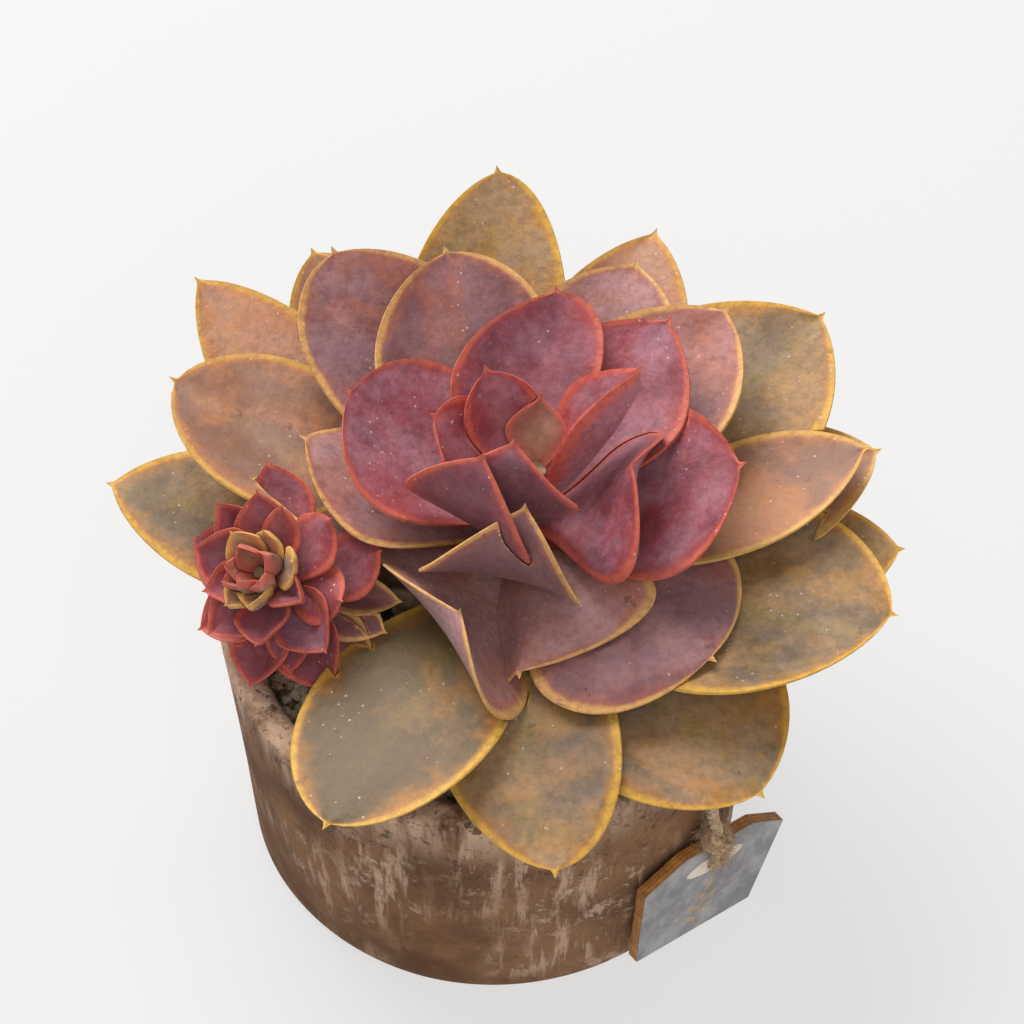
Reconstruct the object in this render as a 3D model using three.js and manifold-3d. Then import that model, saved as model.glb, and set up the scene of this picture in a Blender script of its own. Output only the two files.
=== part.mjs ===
// A rosette succulent with a side offset, standing in a thick round pot.
// A small wooden tag hangs from a twine that passes through a hole under the rim.
// Millimetres, +Z up, the pot's bottom centre at the origin, its front towards -Y.
import * as THREE from 'three';
import { mergeVertices } from 'three/addons/utils/BufferGeometryUtils.js';
import Module from 'manifold-3d';

const wasm = await Module();
wasm.setup();

// ---- driving dimensions ------------------------------------------------------------
const GAP = 0.3;                      // air left between pieces that touch
const FACET_TOLERANCE = 0.02;         // slivers thinner than this are merged away
const SEGMENTS = 40;                  // facets round the pot

const POT = {
  height: 70, topRadius: 60, footRadius: 56.5, wall: 7.2, floor: 8,
  rimRound: 2.6, footChamfer: 1.6,
};
const DRAIN = { count: 3, radius: 3.5, circle: 30 };
const SOIL_DEPTH = 10;                // how far the soil lies below the rim
const SOIL_LEVEL = POT.height - SOIL_DEPTH;

// The stem leans back and to the right; leaf heights are measured from its foot.
const STEM = {
  foot: [2, 2, SOIL_LEVEL], top: [9, 6.4, SOIL_LEVEL + 46], buried: 8,
  footRadius: 5, topRadius: 2.2,
};
// The offset grows from low on the stem, to the left and upwards.
const OFFSET = {
  foot: [-41, -6, SOIL_LEVEL + 20.5], top: [-49, -12.5, SOIL_LEVEL + 35],
  root: [0, 1, SOIL_LEVEL + 6],
  footRadius: 2.6, topRadius: 1.4, rootRadius: 2.4,
};

const LEAF_THICKNESS = 3.4;
const ROOTED = 1;                     // a leaf's foot is drawn this far into the stem, then cut
const LEAF_STATIONS = 7;              // cross-sections along a main leaf
const LEAF_COLUMNS = 6;               // facets across a main leaf
const SMALL_STATIONS = 4;             // the same for the offset's leaves
const SMALL_COLUMNS = 4;

// The tag leans on the pot; its foot is given for a pot of this radius and moves out with it.
const TAG = {
  foot: [45, -43.7, 3.9], potRadius: 60, yaw: 38, lean: -1, roll: -10,
  halfBottom: 17, halfWide: 20.5, wideAt: 26, halfTop: 10, height: 32,
  thickness: 3, holeRadius: 2, holeAt: 25,
};
const TWINE = { radius: 1.5, azimuth: -44, belowRim: 7.5, clearance: 0.5 };
const KNOT = { radius: 3.2, loopRadius: 0.8, aside: -2.5 };

// ---- small helpers -----------------------------------------------------------------
const rad = THREE.MathUtils.degToRad;
const v3 = (a) => new THREE.Vector3(a[0], a[1], a[2]);
const ease = (x) => THREE.MathUtils.smoothstep(x, 0, 1);
const clamp = THREE.MathUtils.clamp;

function solidOf(geometry) {
  const bare = new THREE.BufferGeometry();
  bare.setAttribute('position', geometry.getAttribute('position'));
  if (geometry.index) bare.setIndex(geometry.index);
  const merged = mergeVertices(bare, 1e-3);
  return new wasm.Manifold(new wasm.Mesh({
    numProp: 3,
    vertProperties: merged.attributes.position.array,
    triVerts: new Uint32Array(merged.index.array),
  }));
}

function geometryOf(solid) {
  const mesh = solid.getMesh();
  const indexed = new THREE.BufferGeometry();
  indexed.setAttribute('position', new THREE.BufferAttribute(mesh.vertProperties, 3));
  indexed.setIndex(new THREE.BufferAttribute(mesh.triVerts, 1));
  const flat = indexed.toNonIndexed();
  flat.computeVertexNormals();
  return flat;
}

// The largest connected piece, so that a cut never leaves loose crumbs behind.
function largestPiece(solid) {
  const pieces = solid.decompose();
  return pieces.reduce((best, p) => (p.volume() > best.volume() ? p : best));
}

function boxesMeet(a, b) {
  const p = a.boundingBox();
  const q = b.boundingBox();
  return [0, 1, 2].every((k) => p.min[k] <= q.max[k] && q.min[k] <= p.max[k]);
}

// ---- leaves ------------------------------------------------------------------------
// A leaf runs along a quadratic curve from its foot to its tip.
//   h      height of the foot along the stem        az     compass direction, degrees
//   out    reach of the tip away from the foot      up     rise of the tip
//   p0     pitch at which it leaves the stem        k      how far that pitch is held
//   w      greatest width                           wide   where it is widest, 0 to 1
//   cup    half angle of the curved cross-section   tipCup the same at the tip
//   fold   slope of each half away from the midrib  tipFold  the same at the tip
//   roll   turn about the midrib                    skew   sideways shift of the tip
//   blunt  smaller is a blunter tip                 square   smaller is a more sloping shoulder
//   point  length of the small point                spike  half the width of its foot
const LEAF_DEFAULTS = {
  k: 0.45, wide: 0.62, blunt: 0.72, square: 2.2, cup: 20, tipCup: null, fold: 0, tipFold: null,
  roll: 0, skew: 0, base: 0.2, thick: LEAF_THICKNESS, keel: 0.25, point: 1.8, spike: 0.9,
};

function leafRows(given, stations, columns, grow) {
  const leaf = { ...LEAF_DEFAULTS, ...given };
  const az = rad(leaf.az);
  const p0 = rad(leaf.p0);
  const ahead = new THREE.Vector3(Math.cos(az), Math.sin(az), 0);
  const left = new THREE.Vector3(-Math.sin(az), Math.cos(az), 0);
  const up = new THREE.Vector3(0, 0, 1);
  const reach = leaf.k * Math.hypot(leaf.out, leaf.up);
  const foot = leaf.foot.clone().addScaledVector(ahead, leaf.start - ROOTED - grow);
  const tip = leaf.foot.clone().addScaledVector(ahead, leaf.start + leaf.out + grow)
    .addScaledVector(up, leaf.up);
  const mid = leaf.foot.clone().addScaledVector(ahead, leaf.start + reach * Math.cos(p0))
    .addScaledVector(up, reach * Math.sin(p0));
  const tipCup = leaf.tipCup ?? leaf.cup;
  const tipFold = leaf.tipFold ?? leaf.fold;
  const rows = [];
  let point = null;
  for (let i = 0; i <= stations; i += 1) {
    const s = 1 - (1 - i / stations) ** 1.35;
    const centre = foot.clone().multiplyScalar((1 - s) ** 2)
      .addScaledVector(mid, 2 * s * (1 - s)).addScaledVector(tip, s * s);
    const along = mid.clone().sub(foot).multiplyScalar(1 - s)
      .addScaledVector(tip.clone().sub(mid), s).normalize();
    const level = left.clone().addScaledVector(along, -along.dot(left)).normalize();
    const normal = along.clone().cross(level);
    const roll = rad(leaf.roll);
    const side = level.clone().multiplyScalar(Math.cos(roll))
      .addScaledVector(normal, Math.sin(roll));
    const face = normal.clone().multiplyScalar(Math.cos(roll))
      .addScaledVector(level, -Math.sin(roll));
    // outline: widens to the widest station, then closes in a rounded tip
    const rise = leaf.base
      + (1 - leaf.base) * Math.sin(Math.PI / 2 * clamp(s / leaf.wide, 0, 1)) ** 1.6;
    const past = clamp((s - leaf.wide) / (1 - leaf.wide), 0, 1);
    const share = s < leaf.wide ? rise : (1 - past ** leaf.square) ** leaf.blunt;
    const half = Math.hypot(leaf.w / 2 * share, leaf.spike * past) + grow;
    const toTip = ease((s - 0.35) / 0.65);
    const fold = leaf.fold + (tipFold - leaf.fold) * toTip;
    let bow = rad(leaf.cup + (tipCup - leaf.cup) * toTip);
    if (Math.abs(bow) < 1e-3) bow = 1e-3;
    const bulk = leaf.thick * (0.75 + 0.25 * Math.sin(Math.PI * Math.min(1, s * 1.2)))
      * (1 - 0.55 * s ** 3) * Math.min(1, share * 3 + 0.15);
    const ridge = leaf.keel * leaf.thick * ease((s - 0.4) / 0.4) * (1 - ease((s - 0.9) / 0.1));
    const upper = [];
    const lower = [];
    for (let j = 0; j <= columns; j += 1) {
      const v = Math.sin((j / columns * 2 - 1) * Math.PI / 2);
      const across = half * Math.sin(v * bow) / bow + leaf.skew * s ** 3;
      const lift = half * (1 - Math.cos(v * bow)) / bow
        + half * fold * (Math.sqrt(v * v + 0.01) - 0.1);
      const thick = bulk * Math.sqrt(Math.max(0, 1 - v * v * 0.93))
        + ridge * (1 - Math.abs(v)) ** 1.5;
      const p = centre.clone().addScaledVector(side, across).addScaledVector(face, lift);
      upper.push(p.clone().addScaledVector(face, grow));
      lower.push(p.addScaledVector(face, -thick - grow));
    }
    rows.push([...upper, ...lower.reverse()]);
    if (i === stations) {
      point = centre.clone().addScaledVector(side, leaf.skew)
        .addScaledVector(along, leaf.point + grow);
    }
  }
  return { rows, point };
}

// Stacks the closed cross-sections into one closed body with a capped foot and a point.
function leafSolid(leaf, stations, columns, grow = 0) {
  const { rows, point } = leafRows(leaf, stations, columns, grow);
  const ring = rows[0].length;
  const vertices = rows.flat();
  const heel = new THREE.Vector3();
  rows[0].forEach((p) => heel.addScaledVector(p, 1 / ring));
  vertices.push(heel, point);
  const heelAt = rows.length * ring;
  const last = heelAt - ring;
  const faces = [];
  for (let j = 0; j < ring; j += 1) {
    const n = (j + 1) % ring;
    faces.push(heelAt, n, j);
    faces.push(heelAt + 1, last + j, last + n);
    for (let i = 0; i < rows.length - 1; i += 1) {
      const a = i * ring + j;
      const b = i * ring + n;
      faces.push(a, b, b + ring);
      faces.push(a, b + ring, a + ring);
    }
  }
  const geometry = new THREE.BufferGeometry().setFromPoints(vertices);
  geometry.setIndex(faces);
  if (leaf.turn) geometry.applyMatrix4(leaf.turn);
  const solid = solidOf(geometry);
  if (solid.volume() > 0) return solid;
  return solidOf(flipped(geometry));
}

function flipped(geometry) {
  const index = Array.from(geometry.index.array);
  for (let i = 0; i < index.length; i += 3) {
    [index[i + 1], index[i + 2]] = [index[i + 2], index[i + 1]];
  }
  return geometry.clone().setIndex(index);
}

// Body colours, outermost to innermost
const OLIVE = 0xa39a6c;
const TAWNY = 0xb08d6c;
const MAUVE = 0x96707a;
const ROSE = 0xa0525e;
const CRIMSON = 0x9c3d4a;
const GREENISH = 0x9c8a64;

// The rosette's leaves, lowest first: a later leaf lies over an earlier one.
const LEAVES = [
  { name: 'leaf_outer_01', h: 10, az: 3, out: 80, up: 8, p0: 12, w: 38, cup: 8, tone: OLIVE },
  { name: 'leaf_outer_02', h: 10, az: -47, out: 71, up: 2, p0: 18, w: 51, cup: 4, fold: 0.1,
    blunt: 0.6, tone: OLIVE },
  { name: 'leaf_outer_03', h: 10, az: 167, out: 85, up: 11, p0: 8, w: 40, cup: 8, blunt: 0.75,
    tone: OLIVE },
  { name: 'leaf_outer_04', h: 10, az: 68, out: 84, up: 26, p0: 4, w: 38, cup: 20, roll: -6,
    blunt: 0.75, tone: TAWNY },
  { name: 'leaf_outer_05', h: 9, az: 119, out: 88, up: 22, p0: 6, w: 38, cup: 20, blunt: 0.7,
    tone: TAWNY },
  { name: 'leaf_outer_06', h: 14, az: -88, out: 71, up: -1, p0: 22, w: 38, cup: -10, fold: 0.1,
    skew: 6, roll: 6, blunt: 0.6, tone: OLIVE },
  { name: 'leaf_outer_07', h: 13, az: 142, out: 89, up: 28, p0: 6, w: 34, cup: 22, skew: -6,
    blunt: 0.75, tone: TAWNY },
  { name: 'leaf_outer_08', h: 13, az: 17, out: 79, up: 14, p0: 8, w: 38, cup: 8, tone: TAWNY },
  { name: 'leaf_outer_09', h: 17, az: -119, out: 74, up: 3, p0: 16, w: 43, cup: -4, roll: 8,
    blunt: 0.6, tone: OLIVE },
  { name: 'leaf_outer_10', h: 18, az: -19, out: 77, up: 7, p0: 8, w: 57, cup: 8, skew: 8, roll: -4,
    blunt: 0.66, tone: OLIVE },
  { name: 'leaf_outer_11', h: 18, az: 38, out: 82, up: 21, p0: 5, w: 51, cup: 14, roll: 6,
    tone: OLIVE },
  { name: 'leaf_outer_12', h: 15, az: 100, out: 83, up: 35, p0: 10, w: 38, cup: 16, skew: -12,
    roll: 4, blunt: 0.6, tone: OLIVE },
  { name: 'leaf_outer_13', h: 18, az: 157, out: 76, up: 24, p0: 8, w: 44, cup: 18, roll: 8,
    wide: 0.7, blunt: 0.6, tone: TAWNY },
  { name: 'leaf_middle_01', h: 20, az: 8, out: 73, up: 14, p0: 9, w: 30, cup: 10, skew: 8,
    tone: TAWNY },
  { name: 'leaf_middle_02', h: 20, az: 68, out: 67, up: 22, p0: 14, w: 40, cup: 20, tone: MAUVE },
  { name: 'leaf_middle_03', h: 22, az: 119, out: 69, up: 29, p0: 12, w: 42, cup: 20, skew: 6,
    wide: 0.68, blunt: 0.6, tone: MAUVE },
  { name: 'leaf_middle_04', h: 23, az: -40, out: 48, up: 5, p0: 15, w: 56, cup: -6, tipCup: -25,
    blunt: 0.6, tone: MAUVE },
  { name: 'leaf_middle_05', h: 25, az: 46, out: 61, up: 22, p0: 15, w: 40, cup: 22, tone: MAUVE },
  { name: 'leaf_middle_06', h: 27, az: -82, out: 33, up: 4, p0: 20, w: 47, cup: 0, fold: -0.4,
    tipFold: -0.75, roll: 30, skew: -7, square: 1.9, tone: MAUVE },
  { name: 'leaf_middle_07', h: 22, az: -129, out: 25, up: 20, p0: 2, k: 0.8, w: 54, cup: -6,
    tipFold: -0.2, roll: -18, skew: 12, square: 1.9, blunt: 0.8, tone: MAUVE },
  { name: 'leaf_middle_08', h: 27, az: 111, out: 58, up: 25, p0: 18, w: 42, cup: 22, skew: -6,
    roll: 4, blunt: 0.6, tone: MAUVE },
  { name: 'leaf_middle_09', h: 26, az: 168, out: 44, up: 16, p0: 16, w: 44, cup: 22, fold: 0,
    tipFold: -0.4, roll: 16, skew: -6, square: 1.8, tone: MAUVE },
  { name: 'leaf_inner_01', h: 28, az: 2, out: 42, up: 20, p0: 20, w: 42, cup: 16, roll: 10,
    blunt: 0.66, tone: ROSE },
  { name: 'leaf_inner_02', h: 29, az: -104, out: 15, up: 30, p0: 10, k: 0.6, w: 35, cup: -20,
    tipFold: -0.5, skew: 5, square: 1.6, blunt: 0.8, tone: MAUVE },
  { name: 'leaf_inner_03', h: 31, az: 156, out: 37, up: 23, p0: 22, w: 45, cup: 16, roll: 6,
    blunt: 0.6, tone: ROSE },
  { name: 'leaf_inner_04', h: 31, az: 51, out: 46, up: 21, p0: 24, w: 37, cup: 22, square: 1.7,
    blunt: 0.75, tone: ROSE },
  { name: 'leaf_inner_05', h: 33, az: -14, out: 19, up: 23, p0: 30, k: 0.6, w: 40, cup: -28,
    tipFold: -0.2, roll: 4, square: 1.9, tone: ROSE },
  { name: 'leaf_inner_06', h: 35, az: 96, out: 40, up: 20, p0: 26, w: 33, cup: 24, skew: -11,
    blunt: 0.6, tone: ROSE },
  { name: 'leaf_inner_07', h: 36, az: -128, out: 13, up: 31, p0: 25, k: 0.6, w: 32, cup: -16,
    tipFold: -0.2, skew: 1, square: 1.6, blunt: 0.8, tone: ROSE },
  { name: 'leaf_inner_08', h: 37, az: 24, out: 22, up: 27, p0: 48, w: 18, cup: 10, fold: 0.85,
    roll: -32, skew: 4, square: 1.6, blunt: 0.8, tone: CRIMSON },
  { name: 'leaf_inner_09', h: 39, az: -108, out: 8, up: 29, p0: 50, w: 28, cup: -8, tipFold: -0.35,
    skew: 0, square: 1.5, blunt: 0.8, tone: CRIMSON },
  { name: 'leaf_inner_10', h: 40, az: 178, out: 18, up: 17, p0: 45, w: 24, cup: 20, skew: -5,
    roll: -10, tone: CRIMSON },
  { name: 'leaf_inner_11', h: 41, az: 122, out: 15, up: 20, p0: 55, w: 17, cup: 25, roll: -14,
    tone: CRIMSON },
  { name: 'leaf_inner_12', h: 43, az: 82, out: 9, up: 13, p0: 58, w: 13, cup: 13, fold: 0.3,
    square: 1.6, blunt: 0.8, tone: GREENISH },
];

// The offset's leaves, in its own frame: z along the offset's stem.
const OFFSET_LEAVES = [
  { name: 'offset_leaf_01', h: 1, az: 325, out: 19, up: -3, p0: 4, w: 12, cup: 12, fold: 0.4,
    tone: MAUVE },
  { name: 'offset_leaf_02', h: 2, az: 283, out: 21, up: -1, p0: 5, w: 16, cup: 12, fold: 0.5,
    tone: CRIMSON },
  { name: 'offset_leaf_03', h: 2, az: 42, out: 19, up: 1, p0: 5, w: 17, cup: 12, fold: -0.3,
    tone: MAUVE },
  { name: 'offset_leaf_04', h: 3, az: 242, out: 20, up: 3, p0: 10, w: 16, cup: 12, fold: 0.5,
    tone: CRIMSON },
  { name: 'offset_leaf_05', h: 3, az: 196, out: 19, up: 5, p0: 10, w: 15, cup: 12, fold: 0.3,
    tone: CRIMSON },
  { name: 'offset_leaf_06', h: 4, az: 90, out: 23, up: 7, p0: 8, w: 17, cup: 12, tipFold: -0.4,
    tone: ROSE },
  { name: 'offset_leaf_07', h: 5, az: 146, out: 20, up: 7, p0: 10, w: 17, cup: 12, fold: 0.2,
    tone: ROSE },
  { name: 'offset_leaf_08', h: 4, az: 4, out: 21, up: 4, p0: 5, w: 15, cup: 12, tipFold: -0.6,
    tone: ROSE },
  { name: 'offset_leaf_09', h: 7, az: 300, out: 18, up: 3, p0: 12, w: 14, cup: 12, fold: 0.5,
    tone: ROSE },
  { name: 'offset_leaf_10', h: 8, az: 332, out: 16, up: 5, p0: 18, w: 13, cup: 12, tipFold: -0.6,
    tone: ROSE },
  { name: 'offset_leaf_11', h: 8, az: 214, out: 15, up: 7, p0: 16, w: 14, cup: 12, fold: 0.3,
    tone: ROSE },
  { name: 'offset_leaf_12', h: 9, az: 28, out: 16, up: 6, p0: 20, w: 14, cup: 12, tipFold: -0.5,
    tone: ROSE },
  { name: 'offset_leaf_13', h: 10, az: 262, out: 13, up: 7, p0: 22, w: 13, cup: 12, fold: 0.3,
    tone: ROSE },
  { name: 'offset_leaf_14', h: 10, az: 86, out: 15, up: 8, p0: 20, w: 14, cup: 12, fold: 0.2,
    tone: ROSE },
  { name: 'offset_leaf_15', h: 11, az: 150, out: 14, up: 8, p0: 22, w: 14, cup: 12, fold: 0.2,
    tone: ROSE },
  { name: 'offset_leaf_16', h: 13, az: 356, out: 8, up: 8, p0: 50, w: 9, cup: 12, tipFold: -0.4,
    tone: TAWNY },
  { name: 'offset_leaf_17', h: 13, az: 226, out: 7, up: 8, p0: 50, w: 9, cup: 12, fold: 0.3,
    tone: TAWNY },
  { name: 'offset_leaf_18', h: 14, az: 112, out: 7, up: 8, p0: 50, w: 9, cup: 12, fold: 0.2,
    tone: TAWNY },
  { name: 'offset_leaf_19', h: 15, az: 302, out: 3, up: 8, p0: 70, w: 6, cup: 12, fold: 0.3,
    tone: GREENISH },
  { name: 'offset_leaf_20', h: 15, az: 164, out: 3, up: 8, p0: 72, w: 6, cup: 12, fold: 0.3,
    tone: GREENISH },
];

// ---- stems -------------------------------------------------------------------------
function onAxis(axis, distance) {
  const a = v3(axis.foot);
  return a.addScaledVector(v3(axis.top).sub(a).normalize(), distance);
}

function axisLength(axis) {
  return v3(axis.foot).distanceTo(v3(axis.top));
}

function radiusAt(axis, distance) {
  const t = clamp(distance / axisLength(axis), 0, 1);
  return axis.footRadius + (axis.topRadius - axis.footRadius) * t;
}

// A round tapered rod between two points.
function rod(from, to, fromRadius, toRadius) {
  const length = from.distanceTo(to);
  const geometry = new THREE.CylinderGeometry(toRadius, fromRadius, length, 12);
  const turn = new THREE.Quaternion()
    .setFromUnitVectors(new THREE.Vector3(0, 1, 0), to.clone().sub(from).normalize());
  geometry.applyQuaternion(turn);
  const centre = from.clone().add(to).multiplyScalar(0.5);
  geometry.translate(centre.x, centre.y, centre.z);
  return solidOf(geometry);
}

function stems(grow = 0) {
  const main = rod(onAxis(STEM, -STEM.buried), onAxis(STEM, axisLength(STEM)),
    STEM.footRadius + grow, STEM.topRadius + grow);
  const side = rod(v3(OFFSET.root), v3(OFFSET.foot),
    OFFSET.rootRadius + grow, OFFSET.footRadius + grow);
  const elbow = solidOf(new THREE.SphereGeometry(OFFSET.footRadius + grow, 12, 8)
    .translate(...OFFSET.foot));
  const shoot = rod(v3(OFFSET.foot), v3(OFFSET.top),
    OFFSET.footRadius + grow, OFFSET.topRadius + grow);
  return wasm.Manifold.union([main, side, elbow, shoot]);
}

// ---- pot and soil ------------------------------------------------------------------
function outerRadius(z) {
  return POT.footRadius + (POT.topRadius - POT.footRadius) * z / POT.height;
}

function lathe(points) {
  return solidOf(new THREE.LatheGeometry(points, SEGMENTS).rotateX(Math.PI / 2));
}

function pot() {
  const p = [];
  const add = (r, z) => p.push(new THREE.Vector2(r, z));
  add(0, 0);
  add(POT.footRadius - POT.footChamfer, 0);
  add(outerRadius(POT.footChamfer), POT.footChamfer);
  const round = POT.rimRound;
  add(outerRadius(POT.height - round), POT.height - round);
  for (let a = 0; a <= 180; a += 30) {
    const middle = POT.topRadius - POT.wall / 2;
    const flat = POT.wall / 2 - round;
    const shift = a < 90 ? flat : a > 90 ? -flat : 0;
    if (a > 0 && a < 180) {
      add(middle + shift + round * Math.cos(rad(a)), POT.height - round + round * Math.sin(rad(a)));
    }
  }
  add(outerRadius(POT.height - round) - POT.wall, POT.height - round);
  add(outerRadius(POT.floor) - POT.wall, POT.floor);
  add(0, POT.floor);
  let body = lathe(p);
  for (let i = 0; i < DRAIN.count; i += 1) {
    const a = rad(90 + i * 360 / DRAIN.count);
    const hole = new THREE.CylinderGeometry(DRAIN.radius, DRAIN.radius, POT.floor * 3, 16)
      .rotateX(Math.PI / 2)
      .translate(DRAIN.circle * Math.cos(a), DRAIN.circle * Math.sin(a), 0);
    body = body.subtract(solidOf(hole));
  }
  const a = rad(TWINE.azimuth);
  const out = new THREE.Vector3(Math.cos(a), Math.sin(a), 0);
  const level = new THREE.Vector3(0, 0, POT.height - TWINE.belowRim);
  body = body.subtract(rod(
    level.clone().addScaledVector(out, POT.topRadius - POT.wall * 2),
    level.clone().addScaledVector(out, POT.topRadius + POT.wall),
    TWINE.radius + TWINE.clearance,
    TWINE.radius + TWINE.clearance,
  ));
  return body;
}

function soil(stemRoom) {
  const inner = (z) => outerRadius(z) - POT.wall - GAP;
  const low = POT.floor + GAP;
  const points = [
    [0, low], [inner(low), low], [inner(SOIL_LEVEL - 1), SOIL_LEVEL - 1],
    [inner(SOIL_LEVEL) - 3, SOIL_LEVEL], [18, SOIL_LEVEL + 0.6], [0, SOIL_LEVEL + 0.6],
  ];
  return lathe(points.map(([r, z]) => new THREE.Vector2(r, z))).subtract(stemRoom);
}

// ---- tag, twine and knot -----------------------------------------------------------
function tagFrame() {
  const yaw = rad(TAG.yaw);
  const lean = rad(TAG.lean);
  const roll = rad(TAG.roll);
  const level = new THREE.Vector3(Math.cos(yaw), Math.sin(yaw), 0);
  const out = new THREE.Vector3(Math.sin(yaw), -Math.cos(yaw), 0);
  const rise = new THREE.Vector3(0, 0, Math.cos(lean)).addScaledVector(out, -Math.sin(lean));
  const x = level.clone().multiplyScalar(Math.cos(roll)).addScaledVector(rise, Math.sin(roll));
  const y = rise.clone().multiplyScalar(Math.cos(roll)).addScaledVector(level, -Math.sin(roll));
  const z = x.clone().cross(y);
  const foot = v3(TAG.foot).addScaledVector(out, POT.topRadius - TAG.potRadius);
  return new THREE.Matrix4().makeBasis(x, y, z).setPosition(foot);
}

function tag(frame) {
  const shape = new THREE.Shape();
  shape.moveTo(-TAG.halfBottom, 0);
  shape.lineTo(TAG.halfBottom, 0);
  shape.lineTo(TAG.halfWide, TAG.wideAt);
  shape.lineTo(TAG.halfTop, TAG.height);
  shape.lineTo(-TAG.halfTop, TAG.height);
  shape.lineTo(-TAG.halfWide, TAG.wideAt);
  shape.closePath();
  const hole = new THREE.Path();
  hole.absarc(0, TAG.holeAt, TAG.holeRadius, 0, Math.PI * 2, true);
  shape.holes.push(hole);
  const plate = new THREE.ExtrudeGeometry(shape, {
    depth: TAG.thickness, bevelEnabled: false, curveSegments: 8,
  });
  plate.translate(0, 0, -TAG.thickness);
  return solidOf(plate.applyMatrix4(frame));
}

// Round cord along a smooth curve, with flat ends.
function cord(points, radius, closed, steps, sides) {
  const curve = new THREE.CatmullRomCurve3(points, closed, 'centripetal');
  const round = new THREE.Shape();
  round.absarc(0, 0, radius, 0, Math.PI * 2, false);
  return solidOf(new THREE.ExtrudeGeometry(round, {
    steps, curveSegments: sides / 2, bevelEnabled: false, extrudePath: curve,
  }));
}

function knot(frame) {
  const inTag = (x, y, z) => new THREE.Vector3(x, y, z).applyMatrix4(frame);
  const middle = -TAG.thickness / 2;
  const aside = TAG.thickness / 2 + KNOT.loopRadius + GAP;
  const above = TAG.height + KNOT.loopRadius + GAP;
  const loop = cord([
    inTag(0, TAG.holeAt, middle),
    inTag(0, TAG.holeAt + 0.6, middle + aside),
    inTag(0, above - 1, middle + aside),
    inTag(0, above + 1, middle),
    inTag(0, above - 1, middle - aside),
    inTag(0, TAG.holeAt + 0.6, middle - aside),
  ], KNOT.loopRadius, true, 20, 6);
  const at = inTag(KNOT.aside, above + KNOT.radius * 0.7, middle + 2);
  const lump = solidOf(new THREE.SphereGeometry(KNOT.radius, 12, 8)
    .scale(1, 1, 0.85).translate(at.x, at.y, at.z));
  return { solid: lump.add(loop), at };
}

function twine(knotAt) {
  const a = rad(TWINE.azimuth);
  const at = (r, z) => new THREE.Vector3(r * Math.cos(a), r * Math.sin(a), z);
  const hole = POT.height - TWINE.belowRim;
  const top = knotAt.clone().add(new THREE.Vector3(0, 0, KNOT.radius * 0.85 + GAP));
  return cord([
    at(POT.topRadius - 13, hole + 1),
    at(POT.topRadius - 9, hole),
    at(POT.topRadius + 1, hole),
    at(POT.topRadius + 3.5, hole - 3),
    top.clone().lerp(at(POT.topRadius + 4, hole - 8), 0.5),
    top,
  ], TWINE.radius, false, 18, 8);
}

// ---- assembly ----------------------------------------------------------------------
const part = new THREE.Group();
part.name = 'potted_succulent';

function place(name, solid, colour, roughness = 0.7) {
  const material = new THREE.MeshStandardMaterial({ color: colour, roughness, metalness: 0 });
  const mesh = new THREE.Mesh(geometryOf(solid.simplify(FACET_TOLERANCE)), material);
  mesh.name = name;
  part.add(mesh);
}

function footOn(axis, leaf) {
  return { foot: onAxis(axis, leaf.h), start: radiusAt(axis, leaf.h) + GAP };
}

// The offset's leaves are drawn upright at its foot, then tipped onto its stem.
const tip = new THREE.Quaternion().setFromUnitVectors(
  new THREE.Vector3(0, 0, 1),
  v3(OFFSET.top).sub(v3(OFFSET.foot)).normalize(),
);
const tipOver = new THREE.Matrix4().compose(v3(OFFSET.foot), tip, new THREE.Vector3(1, 1, 1));

const foliage = [
  ...LEAVES.map((leaf) => ({
    spec: { ...leaf, ...footOn(STEM, leaf) },
    stations: LEAF_STATIONS,
    columns: LEAF_COLUMNS,
  })),
  ...OFFSET_LEAVES.map((leaf) => ({
    spec: {
      thick: 3, keel: 0.15, point: 1, spike: 0.5, base: 0.35, square: 1.6, blunt: 0.75, ...leaf,
      foot: new THREE.Vector3(0, 0, leaf.h), start: radiusAt(OFFSET, leaf.h) + GAP, turn: tipOver,
    },
    stations: SMALL_STATIONS,
    columns: SMALL_COLUMNS,
  })),
];

// Where a leaf is pressed by one that lies over it, it gives way by the gap.
const room = stems(GAP);
for (const item of foliage) {
  item.solid = leafSolid(item.spec, item.stations, item.columns);
  item.grown = leafSolid(item.spec, item.stations, item.columns, GAP);
}
foliage.forEach((item, i) => {
  let solid = item.solid.subtract(room);
  for (const over of foliage.slice(i + 1)) {
    if (boxesMeet(solid, over.grown)) solid = solid.subtract(over.grown);
  }
  place(item.spec.name, largestPiece(solid), item.spec.tone, 0.62);
});

const frame = tagFrame();
const tied = knot(frame);
place('pot', pot(), 0x6f5546, 0.9);
place('soil', soil(room), 0xb9ab8d, 0.95);
place('stem', stems(), 0x7c6a4e, 0.8);
place('tag', tag(frame), 0x7d8288, 0.7);
place('twine', twine(tied.at), 0xa78b63, 0.9);
place('twine_knot', tied.solid, 0xa78b63, 0.9);

export default part;
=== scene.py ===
# %% [markdown]
# # A rosette succulent in a clay pot
# The object is a potted plant: thick leaves in a spiral, a small offset at its side, a turned
# clay pot full of grit, and a wooden tag on a jute twine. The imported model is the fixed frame
# for everything here: it is loaded first, its pieces are never moved, and each finer piece is
# made in the same place as the plain one it stands for. Tables are in millimetres, as on a
# maker's drawing, and every mesh is turned into metres as it is made.

import math
import random

import bmesh
import bpy
import numpy as np
from mathutils import Matrix, Quaternion, Vector, noise as waver


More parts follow.
